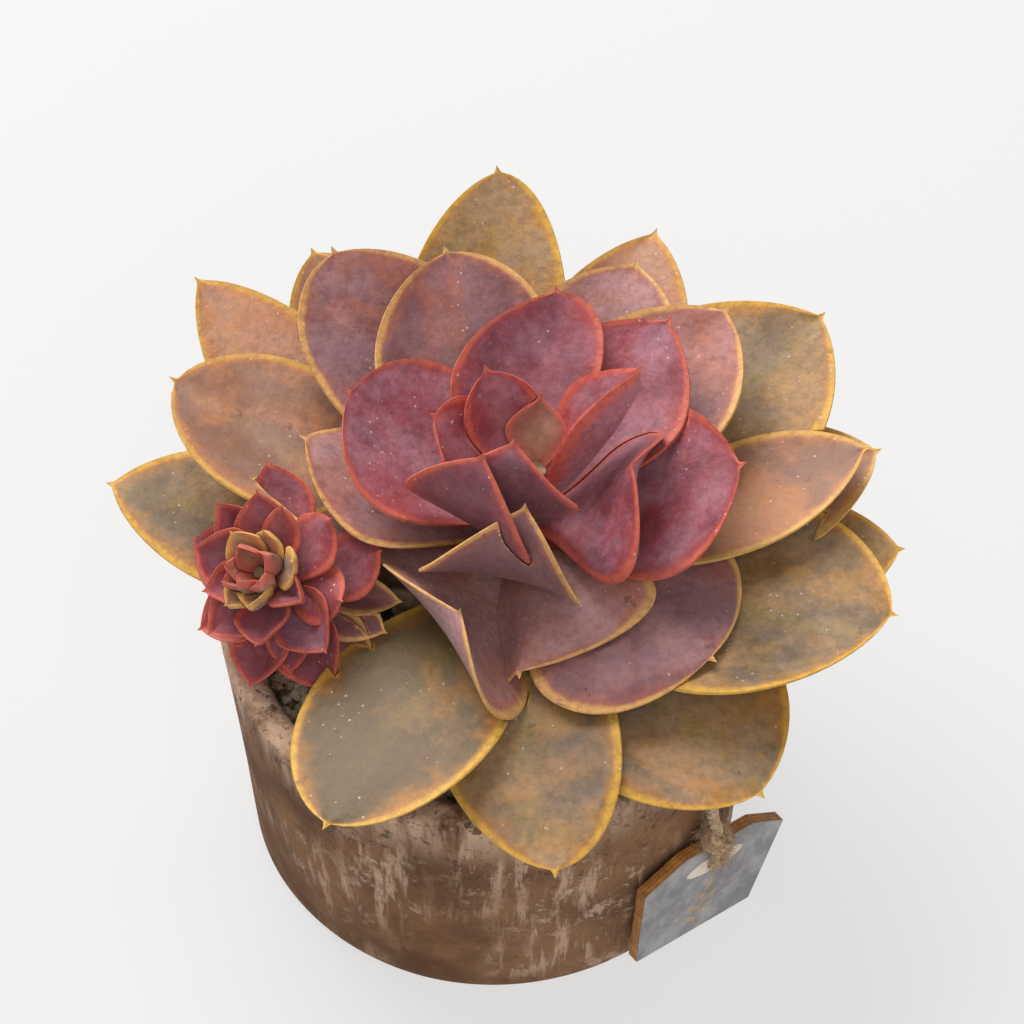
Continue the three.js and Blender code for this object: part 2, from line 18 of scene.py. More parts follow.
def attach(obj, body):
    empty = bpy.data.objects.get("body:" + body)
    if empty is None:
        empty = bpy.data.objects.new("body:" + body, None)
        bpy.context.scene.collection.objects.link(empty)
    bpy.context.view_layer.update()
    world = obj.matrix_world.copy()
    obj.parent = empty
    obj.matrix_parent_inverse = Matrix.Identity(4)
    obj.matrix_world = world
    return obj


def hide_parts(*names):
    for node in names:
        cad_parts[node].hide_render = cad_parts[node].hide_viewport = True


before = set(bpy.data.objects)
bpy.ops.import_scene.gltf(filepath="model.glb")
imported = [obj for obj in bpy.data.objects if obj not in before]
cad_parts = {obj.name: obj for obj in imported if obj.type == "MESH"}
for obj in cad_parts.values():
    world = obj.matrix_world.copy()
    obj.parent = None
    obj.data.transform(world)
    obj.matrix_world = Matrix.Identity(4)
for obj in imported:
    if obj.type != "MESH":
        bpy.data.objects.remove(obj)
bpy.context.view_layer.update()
MM = 0.001
print("packed nodes:", len(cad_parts))

# %% [markdown]
# ## Camera, light and floor
# The view looks down at the rosette from the front, about fifty degrees above the horizon. A
# long lens from seven hundred millimetres away keeps the leaves' proportions. The light is a
# wide soft panel behind, above and a little to the left, as from a large window, with a much
# weaker panel in front, and an even room around them. The floor is a dark grey sheet with a
# painted glow that makes it pale, lifts the shadows on it so that they stay soft, and lights the
# leaves faintly from below.

# %% Camera
EYE = (0.004, -0.400, 0.589)
LOOK_DOWN = 50.74           # degrees below the horizon
LENS = 105.46875            # millimetres, on a frame 36 mm wide

camera_data = bpy.data.cameras.new("camera")
camera_data.sensor_width = 36.0
camera_data.lens = LENS
camera_data.clip_start, camera_data.clip_end = 0.01, 20.0
camera = bpy.data.objects.new("camera", camera_data)
camera.location = EYE
camera.rotation_euler = (math.radians(90 - LOOK_DOWN), 0, 0)
bpy.context.collection.objects.link(camera)
bpy.context.scene.camera = camera
print("lens mm:", round(camera_data.lens, 1))


# %% Light panels and room light
def light_panel(name, place, aim, size, watts, tint):
    data = bpy.data.lights.new(name, "AREA")
    data.shape = "SQUARE"
    data.size = size
    data.energy = watts
    data.color = tint
    panel = bpy.data.objects.new(name, data)
    panel.location = place
    panel.rotation_mode = "QUATERNION"
    panel.rotation_quaternion = (Vector(aim) - Vector(place)).to_track_quat("-Z", "Y")
    bpy.context.collection.objects.link(panel)
    print(name, "at", place, watts, "W")


light_panel("window_light", (-0.45, 0.75, 1.10), (0, 0, 0.06), 1.0, 28.0, (1.0, 0.985, 0.96))
light_panel("front_light", (0.15, -0.95, 1.0), (0, 0, 0.05), 1.0, 6.0, (1.0, 0.99, 0.98))

room = bpy.data.worlds.new("room")
bpy.context.scene.world = room
room.use_nodes = True
room.node_tree.nodes["Background"].inputs["Color"].default_value = (0.96, 0.97, 1.0, 1)
room.node_tree.nodes["Background"].inputs["Strength"].default_value = 0.43
bpy.context.scene.view_settings.view_transform = "Standard"
bpy.context.scene.view_settings.look = "None"


# %% [markdown]
# ## Small helpers
# A mesh is made from lists of points and faces, and a material from a handful of nodes. The
# helpers below keep the cells that follow short: one makes an object, and the others add a
# node, mix two colours, stretch a value over a range, and finish a material with its bump.

# %% Mesh helpers
def mesh_object(name, points, faces, scale=MM):
    mesh = bpy.data.meshes.new(name)
    mesh.from_pydata([tuple(p) for p in np.asarray(points, float) * scale], [], faces)
    mesh.update()
    obj = bpy.data.objects.new(name, mesh)
    bpy.context.collection.objects.link(obj)
    return obj


def store_floats(mesh, name, values):
    layer = mesh.attributes.new(name, "FLOAT", "POINT")
    layer.data.foreach_set("value", np.asarray(values, np.float32))


def plain_copy(obj, name):
    """The object with its modifiers worked out, as one plain mesh."""
    graph = bpy.context.evaluated_depsgraph_get()
    mesh = bpy.data.meshes.new_from_object(obj.evaluated_get(graph), depsgraph=graph)
    mesh.name = name
    made = bpy.data.objects.new(name, mesh)
    bpy.context.collection.objects.link(made)
    return made


def discard(*objects):
    for obj in objects:
        bpy.data.objects.remove(obj, do_unlink=True)


def soften(mesh, degrees):
    mesh.shade_smooth()
    mesh.set_sharp_from_angle(angle=math.radians(degrees))


# %% Material helpers
def new_material(name, roughness, specular=0.5):
    material = bpy.data.materials.new(name)
    material.use_nodes = True
    shader = material.node_tree.nodes["Principled BSDF"]
    shader.inputs["Roughness"].default_value = roughness
    shader.inputs["Specular IOR Level"].default_value = specular
    return material, material.node_tree, shader


def add(tree, kind, inputs=None, **settings):
    """A node of one kind, with its settings, and its inputs set or linked by name or number."""
    node = tree.nodes.new(kind)
    for key, value in settings.items():
        setattr(node, key, value)
    for key, value in (inputs or {}).items():
        if isinstance(value, bpy.types.NodeSocket):
            tree.links.new(value, node.inputs[key])
        else:
            node.inputs[key].default_value = value
    return node


def reckon(tree, operation, a, b=0.0, clamp=False):
    """One step of arithmetic on sockets or numbers."""
    node = add(tree, "ShaderNodeMath", {0: a, 1: b}, operation=operation)
    node.use_clamp = clamp
    return node.outputs[0]


def stretch(tree, value, low, high, to_low=0.0, to_high=1.0):
    """The range low..high eased onto to_low..to_high, and held beyond it."""
    node = add(tree, "ShaderNodeMapRange", {0: value, 1: low, 2: high, 3: to_low, 4: to_high},
               interpolation_type="SMOOTHSTEP")
    return node.outputs[0]


def mixed(tree, factor, a, b):
    """Two colours mixed; each is a socket or three numbers."""
    node = tree.nodes.new("ShaderNodeMix")
    node.data_type = "RGBA"
    for index, value in ((0, factor), (6, a), (7, b)):
        if isinstance(value, bpy.types.NodeSocket):
            tree.links.new(value, node.inputs[index])
        else:
            node.inputs[index].default_value = value if index == 0 else (*value, 1)
    return node.outputs[2]


def noise(tree, place, scale, detail=4.0, roughness=0.55, distortion=0.0):
    node = add(tree, "ShaderNodeTexNoise", {"Vector": place, "Scale": scale, "Detail": detail,
               "Roughness": roughness, "Distortion": distortion})
    return node.outputs["Fac"]


def stretched_place(tree, place, scale):
    node = add(tree, "ShaderNodeMapping", {"Vector": place, "Scale": scale})
    return node.outputs["Vector"]


def bump(tree, shader, height, distance, strength=1.0):
    node = add(tree, "ShaderNodeBump", {"Height": height, "Distance": distance,
               "Strength": strength})
    tree.links.new(node.outputs["Normal"], shader.inputs["Normal"])


# %% [markdown]
# ## Floor
# A plain pale floor carries the soft shadow of the pot; its paleness is partly a painted glow,
# which lifts that shadow. It is a stage piece: it belongs to the picture and not to the object.

# %% Floor
floor = mesh_object("floor", [(-4, -4, 0), (4, -4, 0), (4, 4, 0), (-4, 4, 0)], [(0, 1, 2, 3)], 1)
floor_paint_and_glow, tree, shader = new_material("floor_paint_and_glow", 0.9, 0.1)
place = add(tree, "ShaderNodeTexCoord").outputs["Object"]
cloud = noise(tree, place, 2.0, 2.0)
pale = mixed(tree, cloud, (0.155, 0.155, 0.155), (0.165, 0.165, 0.165))
tree.links.new(pale, shader.inputs["Base Color"])
# painted glow: the floor gives off a faint light of its own, which lifts its shadows and lights the
# leaves from below
shader.inputs["Emission Color"].default_value = (1.0, 0.995, 0.99, 1)
shader.inputs["Emission Strength"].default_value = 0.64
floor.data.materials.append(floor_paint_and_glow)
print("floor laid")


# %% [markdown]
# ## The shape of a leaf
# Every leaf on this plant is the same idea: a thick spoon that leaves the stem at a pitch, bends
# along a smooth curve, widens, and closes in a small point. So one function makes them all from
# a few plain numbers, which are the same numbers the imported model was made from:
#
# - h, az: where on the stem it sits and which way it points; out, up: where its tip ends
# - p0, k: the pitch at which it leaves the stem and how far it holds that pitch
# - w, wide, blunt, square: greatest width, where it is widest, and how its end is rounded
# - cup, fold, tip_cup, tip_fold: how it is hollowed and folded, on the whole and at the tip
# - roll, skew: its twist and its sideways lean
# - base, thick, keel, point, spike: its width at the foot, how thick it is, the ridge beneath,
#   and how long and how wide its small point is
#
# Here the cross-sections are many times finer, the margin is rounded and slightly wavy, a soft
# groove runs along the middle, and the point is a real little spike.

# %% Leaf cross-sections
LEAF_START = dict(k=0.45, wide=0.62, blunt=0.72, square=2.2, cup=20, tip_cup=None, fold=0,
                  tip_fold=None, roll=0, skew=0, base=0.2, thick=3.4, keel=0.25, point=1.8,
                  spike=0.9)
ROOTED = 1.0        # a leaf's foot reaches this far in from the edge of the gap round the stem
GAP = 0.3           # air between neighbours that touch
LARGE_LEAF = (34, 22)       # sections along a leaf of the main rosette, and columns across it
SMALL_LEAF = (16, 12)       # the same for the offset's leaves


def ease(x):
    x = np.clip(x, 0, 1)
    return x * x * (3 - 2 * x)


def leaf_sections(leaf, stations, columns, grow=0.0, seed=0):
    """Closed cross-sections from foot to tip, with what the finish needs at each point:
    distance in from the margin, share of the way along, whether it is the underside, and
    distance from the midline."""
    az, p0 = math.radians(leaf["az"]), math.radians(leaf["p0"])
    ahead = np.array([math.cos(az), math.sin(az), 0.0])
    left = np.array([-math.sin(az), math.cos(az), 0.0])
    up = np.array([0.0, 0.0, 1.0])
    reach = leaf["k"] * math.hypot(leaf["out"], leaf["up"])
    seat, start = np.array(leaf["seat"]), leaf["start"]
    foot = seat + ahead * (start - ROOTED - grow)
    tip = seat + ahead * (start + leaf["out"] + grow) + up * leaf["up"]
    mid = seat + ahead * (start + reach * math.cos(p0)) + up * (reach * math.sin(p0))
    tip_cup = leaf["cup"] if leaf["tip_cup"] is None else leaf["tip_cup"]
    tip_fold = leaf["fold"] if leaf["tip_fold"] is None else leaf["tip_fold"]
    v = np.sin((np.arange(columns + 1) / columns * 2 - 1) * math.pi / 2)
    chance = random.Random(seed)
    phases = [chance.uniform(0, 6.28) for _ in range(4)]
    wave = leaf["w"] * 0.022
    rings, facts = [], []
    for i in range(stations + 1):
        s = 1 - (1 - i / stations) ** 1.35
        centre = foot * (1 - s) ** 2 + mid * 2 * s * (1 - s) + tip * s * s
        along = (mid - foot) * (1 - s) + (tip - mid) * s
        along /= np.linalg.norm(along)
        level = left - along * along.dot(left)
        level /= np.linalg.norm(level)
        normal = np.cross(along, level)
        roll = math.radians(leaf["roll"])
        side = level * math.cos(roll) + normal * math.sin(roll)
        face = normal * math.cos(roll) - level * math.sin(roll)
        rise = leaf["base"] + (1 - leaf["base"]) * math.sin(
            math.pi / 2 * min(s / leaf["wide"], 1)) ** 1.6
        past = min(max((s - leaf["wide"]) / (1 - leaf["wide"]), 0), 1)
        share = rise if s < leaf["wide"] else (1 - past ** leaf["square"]) ** leaf["blunt"]
        half = math.hypot(leaf["w"] / 2 * share, leaf["spike"] * past) + grow
        to_tip = float(ease((s - 0.35) / 0.65))
        fold = leaf["fold"] + (tip_fold - leaf["fold"]) * to_tip
        bow = math.radians(leaf["cup"] + (tip_cup - leaf["cup"]) * to_tip)
        bow = bow if abs(bow) > 1e-3 else 1e-3
        bulk = leaf["thick"] * (0.75 + 0.25 * math.sin(math.pi * min(1, s * 1.2))) * (
            1 - 0.55 * s ** 3) * min(1, share * 3 + 0.15)
        ridge = leaf["keel"] * leaf["thick"] * ease((s - 0.4) / 0.4) * (1 - ease((s - 0.9) / 0.1))
        ripple = wave * np.abs(v) ** 3 * share * np.where(
            v > 0, np.sin(7.5 * s + phases[0]), np.sin(6.5 * s + phases[1]))
        groove = -0.45 * np.exp(-(v / 0.1) ** 2) * math.sin(math.pi * min(1, s * 1.05)) ** 2
        swell = (0.2 * np.sin(7 * s + 3 * v + phases[2])
                 + 0.1 * np.sin(17 * s - 6 * v + phases[3])) * (1 - v * v)
        across = half * np.sin(v * bow) / bow + leaf["skew"] * s ** 3
        lift = half * (1 - np.cos(v * bow)) / bow + half * fold * (
            np.sqrt(v * v + 0.01) - 0.1)
        thick = bulk * np.sqrt(np.maximum(0, 1 - v * v * 0.89)) + ridge * (1 - np.abs(v)) ** 1.5
        top = centre + np.outer(across, side) + np.outer(lift + ripple, face)
        upper = top + np.outer(groove + swell + grow, face)
        lower = top - np.outer(thick + grow, face)
        rounding = 0.34 * thick[[0, -1]]
        edges = (top[[0, -1]] - np.outer(thick[[0, -1]] / 2, face)
                 + np.outer([-rounding[0], rounding[1]], side))
        rings.append(np.vstack([upper, edges[1:], lower[::-1], edges[:1]]))
        inset = half * (1 - np.abs(v)) * (40 / leaf["w"]) ** 0.25
        facts.append(np.column_stack([
            np.concatenate([inset, [0], inset[::-1], [0]]),
            np.full(2 * columns + 4, s),
            np.concatenate([np.zeros(columns + 1), [0.5], np.ones(columns + 1), [0.5]]),
            np.concatenate([across, across[-1:], across[::-1], across[:1]]),
        ]))
    # the spike: two shrinking rings past the last section, then the point
    last, ahead_of = rings[-1], along
    middle = last.mean(0)
    for t, size in ((0.3, 0.62), (0.7, 0.27)):
        rings.append(middle + (last - middle) * size + ahead_of * (leaf["point"] + grow) * t)
        facts.append(facts[-1])
    point = middle + ahead_of * (leaf["point"] + grow) + face * 0.15
    return rings, facts, point


def leaf_object(name, leaf, stations, columns, grow=0.0, seed=0):
    """One closed leaf, capped at its foot, in its place on the plant."""
    rings, facts, point = leaf_sections(leaf, stations, columns, grow, seed)
    ring = len(rings[0])
    points = np.vstack([*rings, rings[0].mean(0), point])
    facts = np.vstack([*facts, [[3, 0, 0.5, 0]], [[0, 1, 0.5, 0]]])
    heel, last = len(rings) * ring, (len(rings) - 1) * ring
    faces = []
    for j in range(ring):
        n = (j + 1) % ring
        faces.append((heel, j, n))
        faces.append((heel + 1, last + n, last + j))
        for i in range(len(rings) - 1):
            a, b = i * ring + j, i * ring + n
            faces.append((a, a + ring, b + ring, b))
    if "turn" in leaf:
        turn = np.array(leaf["turn"].to_matrix())
        points = points @ turn.T + np.array(leaf["lies_on"])
    obj = mesh_object(name, points, faces)
    for column, label in enumerate(("leaf_inset", "leaf_along", "leaf_under", "leaf_across")):
        store_floats(obj.data, label, facts[:, column])
    return obj


print("a large leaf has", 2 * LARGE_LEAF[1] + 4, "points round each section")

# %% [markdown]
# ## Where each leaf sits
# The stem leans back and to the right. Leaves are listed from the lowest to the topmost, because
# a later leaf lies over an earlier one. The tones go from olive and tawny at the bottom, through
# dusty mauve, to rose and crimson at the heart, as the youngest leaves colour most in the sun.

# %% Stems
STEM = dict(foot=(2, 2, 60), top=(9, 6.4, 106), foot_radius=5.0, top_radius=2.2)
OFFSET = dict(foot=(-41, -6, 80.5), top=(-49, -12.5, 95), root=(0, 1, 66),
              foot_radius=2.6, top_radius=1.4, root_radius=2.4)
STEM_BURIED = 8


def on_stem(stem, height):
    foot, top = np.array(stem["foot"], float), np.array(stem["top"], float)
    return foot + (top - foot) / np.linalg.norm(top - foot) * height


def stem_radius(stem, height):
    length = math.dist(stem["foot"], stem["top"])
    share = min(max(height / length, 0), 1)
    return stem["foot_radius"] + (stem["top_radius"] - stem["foot_radius"]) * share


# %% Leaf tables
LEAVES = [
    dict(name="leaf_outer_01", h=10, az=3, out=80, up=8, p0=12, w=38, cup=8, finish="leaf_olive"),
    dict(name="leaf_outer_02", h=10, az=-47, out=71, up=2, p0=18, w=51, cup=4, fold=0.1, blunt=0.6,
         finish="leaf_olive"),
    dict(name="leaf_outer_03", h=10, az=167, out=85, up=11, p0=8, w=40, cup=8, blunt=0.75,
         finish="leaf_olive"),
    dict(name="leaf_outer_04", h=10, az=68, out=84, up=26, p0=4, w=38, cup=20, roll=-6, blunt=0.75,
         finish="leaf_tawny"),
    dict(name="leaf_outer_05", h=9, az=119, out=88, up=22, p0=6, w=38, cup=20, blunt=0.7,
         finish="leaf_tawny"),
    dict(name="leaf_outer_06", h=14, az=-88, out=71, up=-1, p0=22, w=38, cup=-10, fold=0.1, skew=6,
         roll=6, blunt=0.6, finish="leaf_olive"),
    dict(name="leaf_outer_07", h=13, az=142, out=89, up=28, p0=6, w=34, cup=22, skew=-6, blunt=0.75,
         finish="leaf_tawny"),
    dict(name="leaf_outer_08", h=13, az=17, out=79, up=14, p0=8, w=38, cup=8, finish="leaf_tawny"),
    dict(name="leaf_outer_09", h=17, az=-119, out=74, up=3, p0=16, w=43, cup=-4, roll=8, blunt=0.6,
         finish="leaf_olive"),
    dict(name="leaf_outer_10", h=18, az=-19, out=77, up=7, p0=8, w=57, cup=8, skew=8, roll=-4,
         blunt=0.66, finish="leaf_olive"),
    dict(name="leaf_outer_11", h=18, az=38, out=82, up=21, p0=5, w=51, cup=14, roll=6,
         finish="leaf_olive"),
    dict(name="leaf_outer_12", h=15, az=100, out=83, up=35, p0=10, w=38, cup=16, skew=-12, roll=4,
         blunt=0.6, finish="leaf_olive"),
    dict(name="leaf_outer_13", h=18, az=157, out=76, up=24, p0=8, w=44, cup=18, roll=8, wide=0.7,
         blunt=0.6, finish="leaf_tawny"),
    dict(name="leaf_middle_01", h=20, az=8, out=73, up=14, p0=9, w=30, cup=10, skew=8,
         finish="leaf_tawny"),
    dict(name="leaf_middle_02", h=20, az=68, out=67, up=22, p0=14, w=40, cup=20, finish="leaf_mauve"),
    dict(name="leaf_middle_03", h=22, az=119, out=69, up=29, p0=12, w=42, cup=20, skew=6, wide=0.68,
         blunt=0.6, finish="leaf_mauve"),
    dict(name="leaf_middle_04", h=23, az=-40, out=48, up=5, p0=15, w=56, cup=-6, tip_cup=-25,
         blunt=0.6, finish="leaf_mauve"),
    dict(name="leaf_middle_05", h=25, az=46, out=61, up=22, p0=15, w=40, cup=22, finish="leaf_mauve"),
    dict(name="leaf_middle_06", h=27, az=-82, out=33, up=4, p0=20, w=47, cup=0, fold=-0.4,
         tip_fold=-0.75, roll=30, skew=-7, square=1.9, finish="leaf_mauve"),
    dict(name="leaf_middle_07", h=22, az=-129, out=25, up=20, p0=2, k=0.8, w=54, cup=-6,
         tip_fold=-0.2, roll=-18, skew=12, square=1.9, blunt=0.8, finish="leaf_mauve"),
    dict(name="leaf_middle_08", h=27, az=111, out=58, up=25, p0=18, w=42, cup=22, skew=-6, roll=4,
         blunt=0.6, finish="leaf_mauve"),
    dict(name="leaf_middle_09", h=26, az=168, out=44, up=16, p0=16, w=44, cup=22, fold=0,
         tip_fold=-0.4, roll=16, skew=-6, square=1.8, finish="leaf_mauve"),
    dict(name="leaf_inner_01", h=28, az=2, out=42, up=20, p0=20, w=42, cup=16, roll=10, blunt=0.66,
         finish="leaf_rose"),
    dict(name="leaf_inner_02", h=29, az=-104, out=15, up=30, p0=10, k=0.6, w=35, cup=-20,
         tip_fold=-0.5, skew=5, square=1.6, blunt=0.8, finish="leaf_mauve"),
    dict(name="leaf_inner_03", h=31, az=156, out=37, up=23, p0=22, w=45, cup=16, roll=6, blunt=0.6,
         finish="leaf_rose"),
    dict(name="leaf_inner_04", h=31, az=51, out=46, up=21, p0=24, w=37, cup=22, square=1.7,
         blunt=0.75, finish="leaf_rose"),
    dict(name="leaf_inner_05", h=33, az=-14, out=19, up=23, p0=30, k=0.6, w=40, cup=-28,
         tip_fold=-0.2, roll=4, square=1.9, finish="leaf_rose"),
    dict(name="leaf_inner_06", h=35, az=96, out=40, up=20, p0=26, w=33, cup=24, skew=-11, blunt=0.6,
         finish="leaf_rose"),
    dict(name="leaf_inner_07", h=36, az=-128, out=13, up=31, p0=25, k=0.6, w=32, cup=-16,
         tip_fold=-0.2, skew=1, square=1.6, blunt=0.8, finish="leaf_rose"),
    dict(name="leaf_inner_08", h=37, az=24, out=22, up=27, p0=48, w=18, cup=10, fold=0.85, roll=-32,
         skew=4, square=1.6, blunt=0.8, finish="leaf_crimson"),
    dict(name="leaf_inner_09", h=39, az=-108, out=8, up=29, p0=50, w=28, cup=-8, tip_fold=-0.35,
         skew=0, square=1.5, blunt=0.8, finish="leaf_crimson"),
    dict(name="leaf_inner_10", h=40, az=178, out=18, up=17, p0=45, w=24, cup=20, skew=-5, roll=-10,
         finish="leaf_crimson"),
    dict(name="leaf_inner_11", h=41, az=122, out=15, up=20, p0=55, w=17, cup=25, roll=-14,
         finish="leaf_crimson"),
    dict(name="leaf_inner_12", h=43, az=82, out=9, up=13, p0=58, w=13, cup=13, fold=0.3, square=1.6,
         blunt=0.8, finish="leaf_greenish"),
]

OFFSET_LEAVES = [
    dict(name="offset_leaf_01", h=1, az=325, out=19, up=-3, p0=4, w=12, cup=12, fold=0.4,
         finish="leaf_mauve"),
    dict(name="offset_leaf_02", h=2, az=283, out=21, up=-1, p0=5, w=16, cup=12, fold=0.5,
         finish="leaf_crimson"),
    dict(name="offset_leaf_03", h=2, az=42, out=19, up=1, p0=5, w=17, cup=12, fold=-0.3,
         finish="leaf_mauve"),
    dict(name="offset_leaf_04", h=3, az=242, out=20, up=3, p0=10, w=16, cup=12, fold=0.5,
         finish="leaf_crimson"),
    dict(name="offset_leaf_05", h=3, az=196, out=19, up=5, p0=10, w=15, cup=12, fold=0.3,
         finish="leaf_crimson"),
    dict(name="offset_leaf_06", h=4, az=90, out=23, up=7, p0=8, w=17, cup=12, tip_fold=-0.4,
         finish="leaf_rose"),
    dict(name="offset_leaf_07", h=5, az=146, out=20, up=7, p0=10, w=17, cup=12, fold=0.2,
         finish="leaf_rose"),
    dict(name="offset_leaf_08", h=4, az=4, out=21, up=4, p0=5, w=15, cup=12, tip_fold=-0.6,
         finish="leaf_rose"),
    dict(name="offset_leaf_09", h=7, az=300, out=18, up=3, p0=12, w=14, cup=12, fold=0.5,
         finish="leaf_rose"),
    dict(name="offset_leaf_10", h=8, az=332, out=16, up=5, p0=18, w=13, cup=12, tip_fold=-0.6,
         finish="leaf_rose"),
    dict(name="offset_leaf_11", h=8, az=214, out=15, up=7, p0=16, w=14, cup=12, fold=0.3,
         finish="leaf_rose"),
    dict(name="offset_leaf_12", h=9, az=28, out=16, up=6, p0=20, w=14, cup=12, tip_fold=-0.5,
         finish="leaf_rose"),
    dict(name="offset_leaf_13", h=10, az=262, out=13, up=7, p0=22, w=13, cup=12, fold=0.3,
         finish="leaf_rose"),
    dict(name="offset_leaf_14", h=10, az=86, out=15, up=8, p0=20, w=14, cup=12, fold=0.2,
         finish="leaf_rose"),
    dict(name="offset_leaf_15", h=11, az=150, out=14, up=8, p0=22, w=14, cup=12, fold=0.2,
         finish="leaf_rose"),
    dict(name="offset_leaf_16", h=13, az=356, out=8, up=8, p0=50, w=9, cup=12, tip_fold=-0.4,
         finish="leaf_tawny"),
    dict(name="offset_leaf_17", h=13, az=226, out=7, up=8, p0=50, w=9, cup=12, fold=0.3,
         finish="leaf_tawny"),
    dict(name="offset_leaf_18", h=14, az=112, out=7, up=8, p0=50, w=9, cup=12, fold=0.2,
         finish="leaf_tawny"),
    dict(name="offset_leaf_19", h=15, az=302, out=3, up=8, p0=70, w=6, cup=12, fold=0.3,
         finish="leaf_greenish"),
    dict(name="offset_leaf_20", h=15, az=164, out=3, up=8, p0=72, w=6, cup=12, fold=0.3,
         finish="leaf_greenish"),
]

# %% The offset's extra leaves
# These aren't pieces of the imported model: two hang below, five stand between the others, and
# the last six are the youngest, at the heart.
HEART_LEAVES = [
    dict(name="heart_leaf_01", h=0.5, az=309, out=19, up=-4, p0=-5, w=10, fold=0.5,
         finish="leaf_mauve"),
    dict(name="heart_leaf_02", h=0.5, az=343, out=20, up=-3, p0=-4, w=9, fold=0.6,
         finish="leaf_mauve"),
    dict(name="heart_leaf_03", h=6.5, az=270, out=17, up=1, p0=10, w=11, tip_fold=-0.5,
         finish="leaf_rose"),
    dict(name="heart_leaf_04", h=6.5, az=120, out=18, up=9, p0=12, w=12, fold=0.5,
         finish="leaf_rose"),
    dict(name="heart_leaf_05", h=11.5, az=55, out=12, up=9, p0=32, w=10, tip_fold=-0.5,
         finish="leaf_rose"),
    dict(name="heart_leaf_06", h=11.5, az=320, out=11, up=7, p0=34, w=9, fold=0.6,
         finish="leaf_rose"),
    dict(name="heart_leaf_07", h=12, az=190, out=10, up=8, p0=34, w=10, fold=0.4,
         finish="leaf_rose"),
    dict(name="heart_leaf_08", h=13.2, az=262, out=6, up=8, p0=55, w=8, fold=0.4,
         finish="leaf_tawny"),
    dict(name="heart_leaf_09", h=13.2, az=62, out=6, up=8, p0=55, w=8, tip_fold=-0.4,
         finish="leaf_tawny"),
    dict(name="heart_leaf_10", h=14, az=200, out=4, up=9, p0=66, w=6, fold=0.4,
         finish="leaf_greenish"),
    dict(name="heart_leaf_11", h=14.2, az=15, out=3, up=9, p0=70, w=6, fold=0.4,
         finish="leaf_greenish"),
    dict(name="heart_leaf_12", h=14.4, az=105, out=2.5, up=9, p0=74, w=6, fold=0.4,
         finish="leaf_greenish"),
    dict(name="heart_leaf_13", h=14.6, az=240, out=1.5, up=9, p0=80, w=5, fold=0.4,
         finish="leaf_greenish"),
]

# %% Seat every leaf on its stem
offset_axis = Vector(OFFSET["top"]) - Vector(OFFSET["foot"])
offset_turn = Vector((0, 0, 1)).rotation_difference(offset_axis.normalized())

foliage = []
for leaf in LEAVES:
    seated = {**LEAF_START, **leaf}
    seated["seat"] = on_stem(STEM, leaf["h"])
    seated["start"] = stem_radius(STEM, leaf["h"]) + GAP
    foliage.append(seated)
for leaf in OFFSET_LEAVES + HEART_LEAVES:
    seated = {**LEAF_START, "thick": 3, "keel": 0.15, "point": 1, "spike": 0.5, "base": 0.35,
              "square": 1.6, "blunt": 0.75, **leaf}
    seated["seat"] = (0, 0, leaf["h"])
    seated["start"] = stem_radius(OFFSET, leaf["h"]) + GAP
    seated["turn"], seated["lies_on"] = offset_turn, OFFSET["foot"]
    foliage.append(seated)
print(len(foliage), "leaves")

# %% [markdown]
# ## Leaves that press on each other
# Where leaves crowd at the stem, the lower one is flattened by the one that lies over it. Each
# leaf is therefore trimmed by a copy of every later leaf that is a third of a millimetre
# larger, which leaves the thin dark line seen between real leaves, and no two leaves share the
# same space. The Boolean modifier's manifold solver does this quickly on closed meshes.


# %% Trim the leaves
def span(obj):
    corners = np.array([v.co for v in obj.data.vertices])
    return corners.min(0), corners.max(0)


def meet(a, b):
    return bool(np.all(a[0] <= b[1]) and np.all(b[0] <= a[1]))


def keep_largest(obj):
    """Removes crumbs that a trim has cut off."""
    mesh = obj.data
    group = np.arange(len(mesh.vertices))
    ends = np.zeros(len(mesh.edges) * 2, np.int64)
    mesh.edges.foreach_get("vertices", ends)
    ends = ends.reshape(-1, 2)
    while True:
        low = np.minimum(group[ends[:, 0]], group[ends[:, 1]])
        before = group.copy()
        np.minimum.at(group, ends[:, 0], low)
        np.minimum.at(group, ends[:, 1], low)
        group = group[group]
        if np.array_equal(before, group):
            break
    labels, sizes = np.unique(group, return_counts=True)
    if len(labels) == 1:
        return
    keep = labels[sizes.argmax()]
    work = bmesh.new()
    work.from_mesh(mesh)
    extra = [v for v in work.verts if group[v.index] != keep]
    bmesh.ops.delete(work, geom=extra, context="VERTS")
    work.to_mesh(mesh)
    work.free()


def trimmed(obj, cutters, name):
    for cutter in cutters:
        cut = obj.modifiers.new("trim", "BOOLEAN")
        cut.operation = "DIFFERENCE"
        cut.solver = "MANIFOLD"
        cut.object = cutter
    made = plain_copy(obj, name)
    keep_largest(made)
    return made


drafts, grown = [], []
for number, leaf in enumerate(foliage):
    small = "turn" in leaf
    stations, columns = SMALL_LEAF if small else LARGE_LEAF
    drafts.append(leaf_object("draft", leaf, stations, columns, 0.0, number))
    grown.append(leaf_object("grown", leaf, stations, columns, GAP, number))
spans = [(span(a), span(b)) for a, b in zip(drafts, grown)]
leaves = []
for number, leaf in enumerate(foliage):
    over = [grown[j] for j in range(number + 1, len(foliage))
            if meet(spans[number][0], spans[j][1])]
    made = trimmed(drafts[number], over, leaf["name"] + "_fine")
    soften(made.data, 60)
    leaves.append(made)
discard(*drafts, *grown)
print("trimmed", len(leaves), "leaves,", sum(len(o.data.polygons) for o in leaves), "faces")
